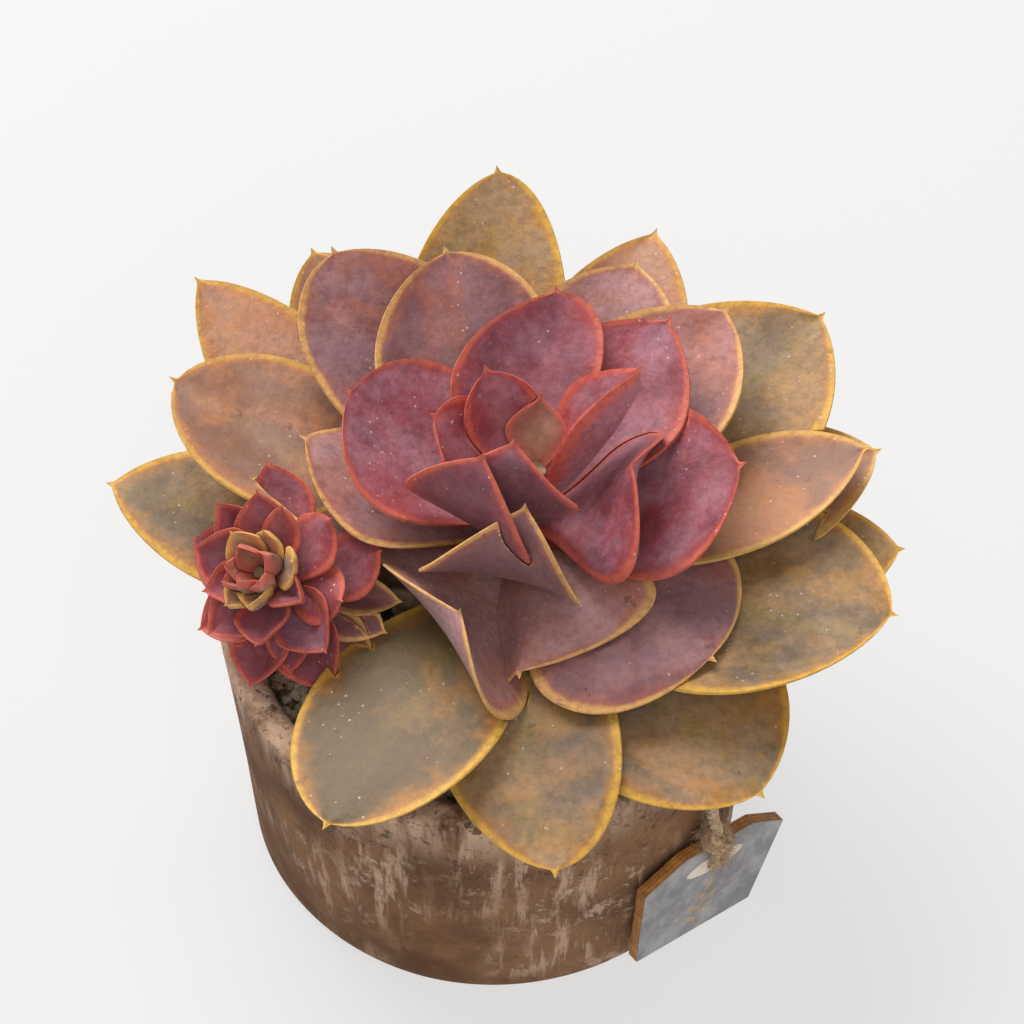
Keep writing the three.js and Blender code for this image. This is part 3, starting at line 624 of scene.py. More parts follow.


# %% [markdown]
# ## The skin of a leaf
# The skin is smooth and slightly waxy, with a powdery bloom that greys the colour and rubs off
# in patches. The body colour drifts from leaf to leaf and across each leaf, and from leaf to
# leaf it also carries painted light and painted shade; it is paler and greener towards the foot,
# and the margin is a thin warm line with a soft glow inside it. All of it is driven by what was
# stored at each point: the distance in from the margin, the way along the leaf and which side
# of it the point is on. Fine dust, pale flecks and a few dark marks come from noise in the
# object's own space.

# %% Leaf finishes
LEAF_FINISHES = {
    # deep and bright body, foot and midline, glow inside the margin, margin line, bloom
    "leaf_olive": ((0.115, 0.076, 0.036), (0.380, 0.200, 0.062), (0.300, 0.265, 0.050),
                   (0.500, 0.205, 0.034), (0.620, 0.350, 0.048), (0.340, 0.265, 0.225)),
    "leaf_tawny": ((0.230, 0.115, 0.075), (0.500, 0.215, 0.095), (0.430, 0.310, 0.130),
                   (0.580, 0.225, 0.065), (0.640, 0.370, 0.085), (0.420, 0.310, 0.280)),
    "leaf_mauve": ((0.170, 0.060, 0.064), (0.370, 0.155, 0.120), (0.420, 0.220, 0.165),
                   (0.430, 0.135, 0.070), (0.680, 0.380, 0.120), (0.460, 0.320, 0.350)),
    "leaf_rose": ((0.140, 0.024, 0.036), (0.320, 0.070, 0.085), (0.400, 0.150, 0.170),
                  (0.340, 0.044, 0.040), (0.520, 0.110, 0.066), (0.450, 0.270, 0.330)),
    "leaf_crimson": ((0.180, 0.028, 0.038), (0.380, 0.080, 0.090), (0.430, 0.165, 0.165),
                     (0.420, 0.046, 0.042), (0.580, 0.115, 0.075), (0.480, 0.280, 0.330)),
    "leaf_greenish": ((0.280, 0.095, 0.065), (0.400, 0.190, 0.105), (0.360, 0.270, 0.120),
                      (0.440, 0.110, 0.080), (0.540, 0.120, 0.085), (0.440, 0.290, 0.270)),
}
# Leaves that are plainly deeper (0 and below) or brighter (1) than the rest of their kind: partly
# their own colour, partly painted shade on leaves that tilt away from the light, such as
# outer_09, and painted light on leaves that lie in shade, such as middle_06 and middle_07
TONES_WITH_PAINTED_LIGHT_AND_SHADE = {"leaf_outer_09": -0.4, "leaf_outer_03": 0.2, "leaf_outer_06": 0.4, "leaf_outer_02": 0.8,
         "leaf_outer_10": 0.4, "leaf_outer_11": 0.8, "leaf_outer_12": 1.3, "leaf_outer_01": 1.2,
         "leaf_outer_13": 0.1, "leaf_outer_07": 1.0, "leaf_outer_04": 0.8,
         "leaf_middle_01": -0.3, "leaf_middle_02": 0.9, "leaf_middle_03": 0.3,
         "leaf_middle_04": 0.1, "leaf_middle_05": 0.3, "leaf_middle_06": 1.2,
         "leaf_middle_07": 1.4, "leaf_middle_08": 0.0, "leaf_middle_09": 0.8,
         "leaf_inner_01": 0.4, "leaf_inner_02": -0.3, "leaf_inner_03": 0.7,
         "leaf_inner_04": 0.6, "leaf_inner_05": 0.5, "leaf_inner_06": 0.1,
         "leaf_inner_07": -0.3, "leaf_inner_08": 0.9, "leaf_inner_09": 0.2}


def leaf_skin(name, colours, seed):
    deep, bright, foot, glow, margin, powder_paint = colours
    material, tree, shader = new_material(name, 0.55, 0.28)
    place = add(tree, "ShaderNodeTexCoord").outputs["Object"]
    fact = {key: add(tree, "ShaderNodeAttribute", attribute_name="leaf_" + key).outputs["Fac"]
            for key in ("inset", "along", "under", "across", "tone")}
    shifted = add(tree, "ShaderNodeMapping", {"Vector": place,
                  "Location": (seed * 0.31, seed * 0.17, seed * 0.23)}).outputs["Vector"]

    # body: each leaf's tone, its own colour with painted light and painted shade on some leaves, and
    # broad and smaller clouds on it
    broad = stretch(tree, noise(tree, shifted, 36, 3, 0.5, 0.5), 0.34, 0.66, -0.42, 0.42)
    small = stretch(tree, noise(tree, shifted, 120, 5, 0.65, 0.3), 0.34, 0.66, -0.34, 0.34)
    drift = reckon(tree, "ADD", reckon(tree, "ADD", broad, small), fact["tone"], clamp=True)
    colour = mixed(tree, drift, deep, bright)
    # a deeper leaf has less bloom, and shows less of the pale green at its foot
    fresh = stretch(tree, fact["tone"], -0.5, 0.7, 0.25, 1.0)
    footward = stretch(tree, fact["along"], 0.05, 0.60, 0.80, 0.0)
    footward = reckon(tree, "MULTIPLY", footward, fresh)
    colour = mixed(tree, footward, colour, foot)
    # the midline is greener, in a soft wedge that narrows towards the tip
    aside = reckon(tree, "ABSOLUTE", fact["across"], 0.0)
    midline = reckon(tree, "MULTIPLY", stretch(tree, aside, 0.3, 4.5, 0.60, 0.0), fresh)
    midline = reckon(tree, "MULTIPLY", midline, stretch(tree, fact["along"], 0.4, 0.95, 1.0, 0.25))
    colour = mixed(tree, midline, colour, foot)

    # streaks run lengthwise, as the vessels do under the skin
    lengthwise = add(tree, "ShaderNodeCombineXYZ",
                     {"X": fact["across"], "Y": reckon(tree, "MULTIPLY", fact["along"], 2.2)})
    streak = noise(tree, lengthwise.outputs[0], 0.9, 3, 0.6)
    streak = stretch(tree, streak, 0.35, 0.7)
    colour = mixed(tree, reckon(tree, "MULTIPLY", streak, 0.05), colour, glow)
    # warm patches, where the sun has coloured the skin
    patch = stretch(tree, noise(tree, shifted, 30, 4, 0.6, 0.8), 0.50, 0.66, 0.0, 0.50)
    colour = mixed(tree, patch, colour, glow)

    # margin: a broad glow, then the line itself, both uneven
    uneven = stretch(tree, noise(tree, shifted, 90, 3), 0.3, 0.7, 0.35, 1.5)
    inset = reckon(tree, "DIVIDE", fact["inset"], uneven)
    halo = stretch(tree, inset, 0.6, 8.0, 0.85, 0.0)
    colour = mixed(tree, reckon(tree, "MULTIPLY", halo, halo), colour, glow)

    # bloom: powder that greys the skin, thinner on the margin and rubbed off in patches
    rubbed = stretch(tree, noise(tree, shifted, 70, 7, 0.7), 0.38, 0.62)
    powder = reckon(tree, "MULTIPLY", rubbed, stretch(tree, inset, 0.8, 4.0, 0.04, 0.40))
    powder = reckon(tree, "MULTIPLY", powder, fresh)
    colour = mixed(tree, powder, colour, powder_paint)
    # the underside is paler and more evenly dusted
    under = reckon(tree, "MULTIPLY", reckon(tree, "MULTIPLY", fact["under"], 0.30), fresh)
    colour = mixed(tree, under, colour, powder_paint)
    line = stretch(tree, reckon(tree, "DIVIDE", fact["inset"],
                   stretch(tree, uneven, 0.35, 1.5, 0.8, 1.2)), 0.7, 2.3, 0.9, 0.0)
    colour = mixed(tree, line, colour, margin)

    # a fine leathery mottle, pale flecks and dark marks
    mottle = stretch(tree, noise(tree, shifted, 520, 4, 0.7), 0.40, 0.64, 0.0, 0.34)
    colour = mixed(tree, mottle, colour, deep)
    cells = add(tree, "ShaderNodeTexVoronoi", {"Vector": shifted, "Scale": 460.0})
    fleck = stretch(tree, cells.outputs["Distance"], 0.07, 0.17, 1.0, 0.0)
    some = stretch(tree, noise(tree, shifted, 95, 2), 0.48, 0.60)
    fleck = reckon(tree, "MULTIPLY", reckon(tree, "MULTIPLY", fleck, some), 0.55)
    colour = mixed(tree, fleck, colour, (0.72, 0.56, 0.54))
    marks = stretch(tree, noise(tree, shifted, 190, 4, 0.75), 0.62, 0.72, 0.0, 0.55)
    colour = mixed(tree, marks, colour, (0.070, 0.030, 0.022))
    tree.links.new(colour, shader.inputs["Base Color"])

    tree.links.new(stretch(tree, powder, 0.0, 0.35, 0.50, 0.66), shader.inputs["Roughness"])
    shader.inputs["Subsurface Weight"].default_value = 0.10
    shader.inputs["Subsurface Radius"].default_value = (1.0, 0.35, 0.2)
    shader.inputs["Subsurface Scale"].default_value = 0.002
    shader.inputs["Sheen Weight"].default_value = 0.06
    shader.inputs["Sheen Roughness"].default_value = 0.5
    grain = noise(tree, shifted, 900, 3)
    dents = noise(tree, shifted, 110, 5, 0.6)
    height = reckon(tree, "ADD", reckon(tree, "MULTIPLY", grain, 0.12),
                    reckon(tree, "ADD", dents, reckon(tree, "MULTIPLY", streak, 0.04)))
    bump(tree, shader, height, 0.0010, 0.6)
    return material


skins = {name: leaf_skin(name, colours, 1 + i)
         for i, (name, colours) in enumerate(LEAF_FINISHES.items())}
chance = random.Random(8)
for leaf, obj in zip(foliage, leaves):
    # each leaf's tone: its own colour, and on some leaves painted light and painted shade as well
    tone = TONES_WITH_PAINTED_LIGHT_AND_SHADE.get(leaf["name"], chance.uniform(-0.3, 0.5))
    store_floats(obj.data, "leaf_tone", np.full(len(obj.data.vertices), tone))
    obj.data.materials.clear()
    obj.data.materials.append(skins[leaf["finish"]])
    if not leaf["name"].startswith("heart"):
        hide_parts(leaf["name"])
    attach(obj, "root")
print("finishes:", ", ".join(skins))


# %% [markdown]
# ## The stem and the offset's stem
# A short woody stem carries the rosette and a thinner arm carries the offset. They hardly show
# between the leaves, but where they do they are bark-brown, with a ring left by each leaf that
# has dropped. A tube of rings around each axis is enough, with every few rings pinched in.

# %% Stem meshes
def ringed_rod(name, start, end, start_radius, end_radius, rings, sides=24):
    start, end = np.array(start, float), np.array(end, float)
    along = (end - start) / np.linalg.norm(end - start)
    across = np.cross(along, [0.3, 1, 0.2])
    across /= np.linalg.norm(across)
    third = np.cross(along, across)
    points, faces = [], []
    for i in range(rings + 1):
        share = i / rings
        radius = start_radius + (end_radius - start_radius) * share
        radius -= 0.3 * max(0, math.sin(share * rings * 0.9)) ** 6
        for j in range(sides):
            turn = 2 * math.pi * j / sides
            bulge = radius * (1 + 0.03 * math.sin(3 * turn + 5 * share))
            points.append(start + along * share * np.linalg.norm(end - start)
                          + across * bulge * math.cos(turn) + third * bulge * math.sin(turn))
    for i in range(rings):
        for j in range(sides):
            n = (j + 1) % sides
            faces.append((i * sides + j, i * sides + n, (i + 1) * sides + n, (i + 1) * sides + j))
    faces.append(tuple(range(sides))[::-1])
    faces.append(tuple(rings * sides + j for j in range(sides)))
    obj = mesh_object(name, points, faces)
    soften(obj.data, 50)
    return obj


def joined(name, objects):
    """Several objects as one mesh."""
    bpy.ops.object.select_all(action="DESELECT")
    for obj in objects:
        obj.select_set(True)
    bpy.context.view_layer.objects.active = objects[0]
    bpy.ops.object.join()
    objects[0].name = objects[0].data.name = name
    return objects[0]


stem = joined("stem_fine", [
    ringed_rod("main", on_stem(STEM, -STEM_BURIED),
               on_stem(STEM, math.dist(STEM["foot"], STEM["top"])),
               STEM["foot_radius"], STEM["top_radius"], 54),
    ringed_rod("arm", OFFSET["root"], OFFSET["foot"],
               OFFSET["root_radius"], OFFSET["foot_radius"], 44),
    ringed_rod("shoot", OFFSET["foot"], OFFSET["top"],
               OFFSET["foot_radius"], OFFSET["top_radius"], 16),
])
bark, tree, shader = new_material("stem_bark", 0.8, 0.2)
place = add(tree, "ShaderNodeTexCoord").outputs["Object"]
colour = mixed(tree, stretch(tree, noise(tree, place, 300, 5), 0.35, 0.65),
               (0.16, 0.095, 0.052), (0.33, 0.235, 0.14))
tree.links.new(colour, shader.inputs["Base Color"])
bump(tree, shader, noise(tree, place, 700, 4), 0.0006, 0.8)
stem.data.materials.append(bark)
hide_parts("stem")
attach(stem, "root")
print("stem faces:", len(stem.data.polygons))

# %% [markdown]
# ## The pot
# The pot is cast or thrown clay about seven millimetres thick, with a soft rounded rim, three
# drain holes and one hole under the rim for the twine. Its shape is a turned profile, so it is
# drawn as one line and swept round. A turned pot is never perfectly round, so every point is
# moved a little by smooth noise, and the rim has small pits. The holes are cut last.

# %% Pot profile
POT = dict(height=70.0, top=60.0, foot=56.5, wall=7.2, floor=8.0, rim_round=2.6, chamfer=1.6)
DRAIN = dict(count=3, radius=3.5, circle=30)
TWINE_HOLE = 2.0            # radius of the hole under the rim


def pot_outside(z):
    return POT["foot"] + (POT["top"] - POT["foot"]) * z / POT["height"]


def pot_profile():
    round_, high = POT["rim_round"], POT["height"]
    line = [(r, 0.0) for r in np.linspace(0.0, POT["foot"] - POT["chamfer"], 14)]
    line += [(pot_outside(POT["chamfer"]) - 0.5, 0.5), (pot_outside(POT["chamfer"]), POT["chamfer"])]
    line += [(pot_outside(z), z) for z in np.linspace(3.5, high - round_, 30)]
    middle, flat = POT["top"] - POT["wall"] / 2, POT["wall"] / 2 - round_
    for degrees in range(12, 180, 12):
        shift = flat if degrees < 90 else -flat
        line.append((middle + shift + round_ * math.cos(math.radians(degrees)),
                     high - round_ + round_ * math.sin(math.radians(degrees))))
    line += [(pot_outside(z) - POT["wall"], z) for z in np.linspace(high - round_, 8.6, 20)]
    inside = pot_outside(POT["floor"]) - POT["wall"]
    line += [(r, POT["floor"]) for r in np.linspace(inside - 0.6, 0.0, 12)]
    return line



def turned(name, line, sides, wobble, pits):
    """Sweeps a profile round the upright axis, slightly uneven, closed at both ends."""
    inner = line[1:-1]
    points = [(0, 0, line[0][1]), (0, 0, line[-1][1])]
    for j in range(sides):
        turn = 2 * math.pi * j / sides
        for r, z in inner:
            p = Vector((r * math.cos(turn), r * math.sin(turn), z))
            sway = wobble * waver.noise(p * 0.035)
            pit = 0.0
            if z > POT["height"] - 5 and pits:
                pit = -pits * max(0, waver.noise(p * 0.55) - 0.32) * 2.4
            level = min(1, z / 3)
            grow = 1 + (sway * level + pit) / max(r, 20)
            points.append((p.x * grow, p.y * grow, z + (pit if z > 66 else 0)))
    faces, rows = [], len(inner)
    for j in range(sides):
        n = (j + 1) % sides
        a, b = 2 + j * rows, 2 + n * rows
        faces.append((0, b, a))
        faces.append((1, a + rows - 1, b + rows - 1))
        for i in range(rows - 1):
            faces.append((a + i, b + i, b + i + 1, a + i + 1))
    return mesh_object(name, points, faces)


def drill(points, radius, sides=32):
    """A rod between two points, to cut a hole with."""
    return ringed_rod("drill", *points, radius, radius, 1, sides)


blank = turned("blank", pot_profile(), 220, 0.5, 0.9)
drills = []
for i in range(DRAIN["count"]):
    turn = math.radians(90 + i * 360 / DRAIN["count"])
    x, y = DRAIN["circle"] * math.cos(turn), DRAIN["circle"] * math.sin(turn)
    drills.append(drill(((x, y, -2), (x, y, POT["floor"] + 4)), DRAIN["radius"]))
TWINE_AT, TWINE_HEIGHT = math.radians(-44), 62.5


def by_twine(r, z):
    return (r * math.cos(TWINE_AT), r * math.sin(TWINE_AT), z)


drills.append(drill((by_twine(45, TWINE_HEIGHT), by_twine(67, TWINE_HEIGHT)), TWINE_HOLE))
pot = trimmed(blank, drills, "pot_fine")
soften(pot.data, 40)
discard(blank, *drills)
print("pot faces:", len(pot.data.polygons))

# %% [markdown]
# The clay is warm brown and porous. Lime from the water has dried on it as a pale bloom: thick on
# the rim, in runs that trail down the wall, and in worn blotches. Runs are noise squeezed along the
# height, blotches are noise at an even scale, and the pits are painted dark as painted shade
# inside them, most towards the rim where the bloom is thick.

# %% Pot clay
clay, tree, shader = new_material("pot_clay", 0.85, 0.25)
place = add(tree, "ShaderNodeTexCoord").outputs["Object"]
height_of = add(tree, "ShaderNodeSeparateXYZ", {0: place}).outputs["Z"]
colour = mixed(tree, stretch(tree, noise(tree, place, 45, 5, 0.6), 0.35, 0.68),
               (0.105, 0.044, 0.017), (0.235, 0.110, 0.046))
squeezed = stretched_place(tree, place, (1, 1, 0.16))
runs = stretch(tree, noise(tree, squeezed, 230, 7, 0.70, 0.15), 0.50, 0.62)
where = stretch(tree, noise(tree, place, 26, 3, 0.5), 0.40, 0.60)
blotch = stretch(tree, noise(tree, place, 120, 9, 0.78, 0.2), 0.52, 0.60)
bloom = reckon(tree, "MULTIPLY", reckon(tree, "MAXIMUM", runs, blotch), where)
rimward = stretch(tree, height_of, 0.050, 0.0685, 0.0, 0.92)
ragged = stretch(tree, noise(tree, squeezed, 110, 7, 0.7), 0.34, 0.58)
bloom = reckon(tree, "MAXIMUM", reckon(tree, "MULTIPLY", bloom, 0.80),
               reckon(tree, "MULTIPLY", rimward, ragged))
colour = mixed(tree, bloom, colour, (0.540, 0.360, 0.245))
film = stretch(tree, noise(tree, place, 15, 3), 0.35, 0.7, 0.0, 0.20)
colour = mixed(tree, film, colour, (0.340, 0.200, 0.120))
pits = stretch(tree, noise(tree, place, 620, 3, 0.6), 0.60, 0.68)
coarse = stretch(tree, noise(tree, place, 330, 3, 0.6), 0.61, 0.70)
pits = reckon(tree, "MAXIMUM", reckon(tree, "MULTIPLY", pits, 0.5), coarse)
pit_shade_and_depth = reckon(tree, "MULTIPLY", pits, stretch(tree, height_of, 0.030, 0.066, 0.35, 1.0))
# painted shade: the pits are darkened in the colour, as the shade inside them, most towards the rim
colour = mixed(tree, reckon(tree, "MULTIPLY", pit_shade_and_depth, 0.8), colour, (0.075, 0.040, 0.024))
tree.links.new(colour, shader.inputs["Base Color"])
# the same pit mask also sinks the pits in the bump
relief = reckon(tree, "SUBTRACT", reckon(tree, "MULTIPLY", bloom, 0.35), pit_shade_and_depth)
relief = reckon(tree, "ADD", relief, reckon(tree, "MULTIPLY", noise(tree, place, 1400, 4), 0.35))
bump(tree, shader, relief, 0.0007, 0.8)
pot.data.materials.clear()
pot.data.materials.append(clay)
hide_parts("pot")
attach(pot, "root")

# %% [markdown]
# ## The soil and its grit
# The soil is a loose mineral mix: pale cream grains one to four millimetres across, with some
# orange and some dark ones. The body is one uneven plug that fills the pot, and Geometry Nodes
# scatter the grains over its top: points on the surface, one faceted grain on each, turned and
# stretched at random, with a random tone stored on it for the finish to read.

# %% Soil body
SOIL_TOP = 59.6


def soil_body():
    low, inset = POT["floor"] + GAP, POT["wall"] + GAP
    line = [(0.0, low)]
    line += [(r, low) for r in np.linspace(4, pot_outside(POT["floor"]) - inset, 8)]
    line += [(pot_outside(z) - inset, z) for z in np.linspace(12, 59, 12)]
    line += [(r, SOIL_TOP) for r in np.linspace(51.2, 1.5, 34)] + [(0.0, SOIL_TOP)]
    return line


soil = turned("soil_fine", soil_body(), 150, 0.0, 0.0)
for vertex in soil.data.vertices:
    if vertex.co.z > (SOIL_TOP - 0.1) * MM:
        vertex.co.z += 0.0006 * waver.noise(vertex.co * 90) + 0.0003 * waver.noise(vertex.co * 320)
soften(soil.data, 60)
earth, tree, shader = new_material("soil_earth", 0.95, 0.1)
place = add(tree, "ShaderNodeTexCoord").outputs["Object"]
tree.links.new(mixed(tree, stretch(tree, noise(tree, place, 420, 5), 0.35, 0.65),
               (0.120, 0.080, 0.045), (0.340, 0.250, 0.150)), shader.inputs["Base Color"])
bump(tree, shader, noise(tree, place, 900, 4), 0.001, 0.9)
soil.data.materials.append(earth)
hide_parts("soil")
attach(soil, "root")

# %% Grit finish
grit_finish, tree, shader = new_material("grit_grains", 0.75, 0.3)
tone = add(tree, "ShaderNodeAttribute", attribute_name="grain_tone").outputs["Fac"]
place = add(tree, "ShaderNodeTexCoord").outputs["Object"]
ramp = add(tree, "ShaderNodeValToRGB", {"Fac": tone})
stops = ramp.color_ramp.elements
stops[0].position, stops[0].color = 0.0, (0.075, 0.050, 0.034, 1)
stops[1].position, stops[1].color = 1.0, (0.800, 0.690, 0.520, 1)
for position, paint in ((0.16, (0.16, 0.10, 0.06, 1)), (0.24, (0.46, 0.22, 0.07, 1)),
                        (0.34, (0.52, 0.40, 0.26, 1)), (0.70, (0.68, 0.56, 0.39, 1))):
    stops.new(position).color = paint
speckle = stretch(tree, noise(tree, place, 1500, 3), 0.4, 0.7, 0.0, 0.45)
tree.links.new(mixed(tree, speckle, ramp.outputs["Color"], (0.26, 0.19, 0.12)),
               shader.inputs["Base Color"])
bump(tree, shader, noise(tree, place, 2200, 3), 0.0004, 0.6)


# %% Geometry Nodes helpers
def new_tree(name, numbers):
    """A geometry tree with an input mesh, named number inputs and a material input."""
    tree = bpy.data.node_groups.new(name, "GeometryNodeTree")
    face = tree.interface
    face.new_socket("Geometry", in_out="INPUT", socket_type="NodeSocketGeometry")
    for label, (kind, value) in numbers.items():
        socket = face.new_socket(label, in_out="INPUT", socket_type="NodeSocket" + kind)
        socket.default_value = value
    face.new_socket("Material", in_out="INPUT", socket_type="NodeSocketMaterial")
    face.new_socket("Geometry", in_out="OUTPUT", socket_type="NodeSocketGeometry")
    start, end = tree.nodes.new("NodeGroupInput"), tree.nodes.new("NodeGroupOutput")
    return tree, start.outputs, end.inputs[0]


def grown_on(host, tree, settings, name):
    """Runs a tree on an object and returns its result as one plain mesh."""
    grower = host.modifiers.new("grow", "NODES")
    grower.node_group = tree
    sockets = {item.name: item.identifier for item in tree.interface.items_tree
               if item.in_out == "INPUT"}
    for label, value in settings.items():
        grower[sockets[label]] = value
    made = plain_copy(host, name)
    host.modifiers.remove(grower)
    return made


# %% Grit scatter
tree, given, result = new_tree("grit_scatter", {
    "Spacing": ("Float", 0.0013), "Density": ("Float", 500000.0),
    "Smallest": ("Float", 0.0006), "Largest": ("Float", 0.0019), "Seed": ("Int", 3)})
points = add(tree, "GeometryNodeDistributePointsOnFaces", {
    "Mesh": given["Geometry"], "Distance Min": given["Spacing"],
    "Density Max": given["Density"], "Seed": given["Seed"]}, distribute_method="POISSON")
ball = add(tree, "GeometryNodeMeshIcoSphere", {"Radius": 1.0, "Subdivisions": 2})
rough = add(tree, "ShaderNodeTexNoise", {"Scale": 1.1, "Detail": 1.0})
push = add(tree, "ShaderNodeVectorMath", {0: rough.outputs["Color"], 1: (0.5, 0.5, 0.5)},
           operation="SUBTRACT")
push = add(tree, "ShaderNodeVectorMath", {0: push.outputs[0], "Scale": 1.5}, operation="SCALE")
grain = add(tree, "GeometryNodeSetPosition", {"Geometry": ball.outputs["Mesh"],
            "Offset": push.outputs[0]})
size = add(tree, "FunctionNodeRandomValue", {2: given["Smallest"], 3: given["Largest"],
           "Seed": given["Seed"]}, data_type="FLOAT")
flat = add(tree, "FunctionNodeRandomValue", {0: (0.75, 0.75, 0.55), 1: (1.2, 1.1, 0.95),
           "Seed": 11}, data_type="FLOAT_VECTOR")
stretchy = add(tree, "ShaderNodeVectorMath", {0: flat.outputs[0], "Scale": size.outputs[1]},
               operation="SCALE")
spin = add(tree, "FunctionNodeRandomValue", {0: (-0.5, -0.5, 0.0), 1: (0.5, 0.5, 6.28),
           "Seed": 5}, data_type="FLOAT_VECTOR")
placed = add(tree, "GeometryNodeInstanceOnPoints", {"Points": points.outputs["Points"],
             "Instance": grain.outputs[0], "Rotation": spin.outputs[0],
             "Scale": stretchy.outputs[0]})
tones = add(tree, "FunctionNodeRandomValue", {2: 0.0, 3: 1.0, "Seed": 21}, data_type="FLOAT")
marked = add(tree, "GeometryNodeStoreNamedAttribute", {"Geometry": placed.outputs[0],
             "Name": "grain_tone", "Value": tones.outputs[1]},
             data_type="FLOAT", domain="INSTANCE")
real = add(tree, "GeometryNodeRealizeInstances", {0: marked.outputs[0]})
painted = add(tree, "GeometryNodeSetMaterial", {"Geometry": real.outputs[0],
              "Material": given["Material"]})
tree.links.new(painted.outputs[0], result)

# %% Lay the grit
def disc(name, radius, hole, z, rings=10, sides=64):
    points = [((hole + (radius - hole) * i / rings) * math.cos(2 * math.pi * j / sides),
               (hole + (radius - hole) * i / rings) * math.sin(2 * math.pi * j / sides), z)
              for i in range(rings + 1) for j in range(sides)]
    faces = [(i * sides + j, (i + 1) * sides + j, (i + 1) * sides + (j + 1) % sides,
              i * sides + (j + 1) % sides) for i in range(rings) for j in range(sides)]
    return mesh_object(name, points, faces)


bed = disc("bed", radius=50.6, hole=6.5, z=60.1)
grit = grown_on(bed, tree, {"Material": grit_finish}, "grit_grains")
soften(grit.data, 25)
discard(bed)
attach(grit, "root")
print("grit triangles:", sum(len(p.vertices) - 2 for p in grit.data.polygons))


# %% [markdown]
# ## The tag
# A small tag of three-millimetre plywood leans against the pot. Its outline is a house shape
# with cut shoulders, its front is painted slate grey, and its edges are the burnt orange-brown
# that a laser leaves. A cream oval is painted round the tie hole, and a plain leafy sprig stands
# below it. A filled flat curve with a thickness and a small bevel makes the plate with its hole,
# and its own flat place is stored on it, so that the paint can be laid out in millimetres.

# %% Tag frame
TAG = dict(foot=(45, -43.7, 3.9), yaw=38, lean=-1, roll=-10, half_bottom=17, half_wide=20.5,
           wide_at=26, half_top=10, height=32, thick=3.0, hole=2.0, hole_at=25)


def tag_frame():
    yaw, lean, roll = (math.radians(TAG[key]) for key in ("yaw", "lean", "roll"))
    level = Vector((math.cos(yaw), math.sin(yaw), 0))
    out = Vector((math.sin(yaw), -math.cos(yaw), 0))
    rise = Vector((0, 0, math.cos(lean))) - out * math.sin(lean)
    x = level * math.cos(roll) + rise * math.sin(roll)
    y = rise * math.cos(roll) - level * math.sin(roll)
    z = x.cross(y)
    stand = Matrix((x, y, z)).transposed().to_4x4()
    stand.translation = Vector(TAG["foot"])
    return stand


tag_place = tag_frame()


def on_tag(x, y, z):
    return tuple(tag_place @ Vector((x, y, z)))


# %% Tag plate
plate_line = bpy.data.curves.new("plate", "CURVE")
plate_line.dimensions, plate_line.fill_mode = "2D", "BOTH"
corners = [(-TAG["half_bottom"], 0), (TAG["half_bottom"], 0), (TAG["half_wide"], TAG["wide_at"]),
           (TAG["half_top"], TAG["height"]), (-TAG["half_top"], TAG["height"]),
           (-TAG["half_wide"], TAG["wide_at"])]
ring = [(TAG["hole"] * math.cos(a), TAG["hole_at"] + TAG["hole"] * math.sin(a))
        for a in np.linspace(0, 2 * math.pi, 29)[:-1]]
for outline in (corners, ring):
    spline = plate_line.splines.new("POLY")
    spline.points.add(len(outline) - 1)
    for point, (x, y) in zip(spline.points, outline):
        point.co = (x * MM, y * MM, 0, 1)
    spline.use_cyclic_u = True
BEVEL = 0.25
plate_line.extrude = (TAG["thick"] / 2 - BEVEL) * MM
plate_line.bevel_depth, plate_line.bevel_resolution = BEVEL * MM, 2
plate_line.offset = -BEVEL * MM
plate = bpy.data.objects.new("plate", plate_line)
bpy.context.collection.objects.link(plate)
tag = plain_copy(plate, "tag_fine")
discard(plate)
flat_place = tag.data.attributes.new("tag_place", "FLOAT_VECTOR", "POINT")
for index, vertex in enumerate(tag.data.vertices):
    x, y, z = vertex.co / MM
    z -= TAG["thick"] / 2
    flat_place.data[index].vector = (x, y, z)
    vertex.co = Vector(on_tag(x, y, z)) * MM
tag.data.update()
soften(tag.data, 35)
print("tag faces:", len(tag.data.polygons))

# %% Tag paint and wood
wood, tree, shader = new_material("tag_wood", 0.6, 0.35)
flat = add(tree, "ShaderNodeAttribute", attribute_name="tag_place").outputs["Vector"]
axis = add(tree, "ShaderNodeSeparateXYZ", {0: flat}).outputs
place = add(tree, "ShaderNodeTexCoord").outputs["Object"]
burnt = mixed(tree, stretch(tree, noise(tree, place, 420, 4), 0.3, 0.7),
              (0.300, 0.115, 0.022), (0.520, 0.235, 0.050))
plies = add(tree, "ShaderNodeTexWave", {"Vector": flat, "Scale": 0.33, "Distortion": 0.6},
            bands_direction="Z")
burnt = mixed(tree, stretch(tree, plies.outputs["Fac"], 0.75, 0.95, 0.0, 0.5), burnt,
              (0.120, 0.050, 0.018))
cloudy = stretch(tree, noise(tree, place, 130, 5, 0.6), 0.35, 0.68)
slate = mixed(tree, cloudy, (0.215, 0.205, 0.212), (0.390, 0.372, 0.372))
worn = stretch(tree, noise(tree, place, 520, 4, 0.7), 0.60, 0.72, 0.0, 0.4)
slate = mixed(tree, worn, slate, (0.40, 0.38, 0.36))


def painted_oval(x, y, half_long, half_short, degrees, soft=0.12):
    """1 inside an oval on the tag's face, 0 outside it."""
    moved = add(tree, "ShaderNodeMapping", {"Vector": flat, "Location": (x, y, 0),
                "Rotation": (0, 0, math.radians(degrees)),
                "Scale": (half_long, half_short, 1000)}, vector_type="TEXTURE")
    far = add(tree, "ShaderNodeVectorMath", {0: moved.outputs[0]}, operation="LENGTH")
    return stretch(tree, far.outputs["Value"], 1 - soft, 1 + soft, 1.0, 0.0)


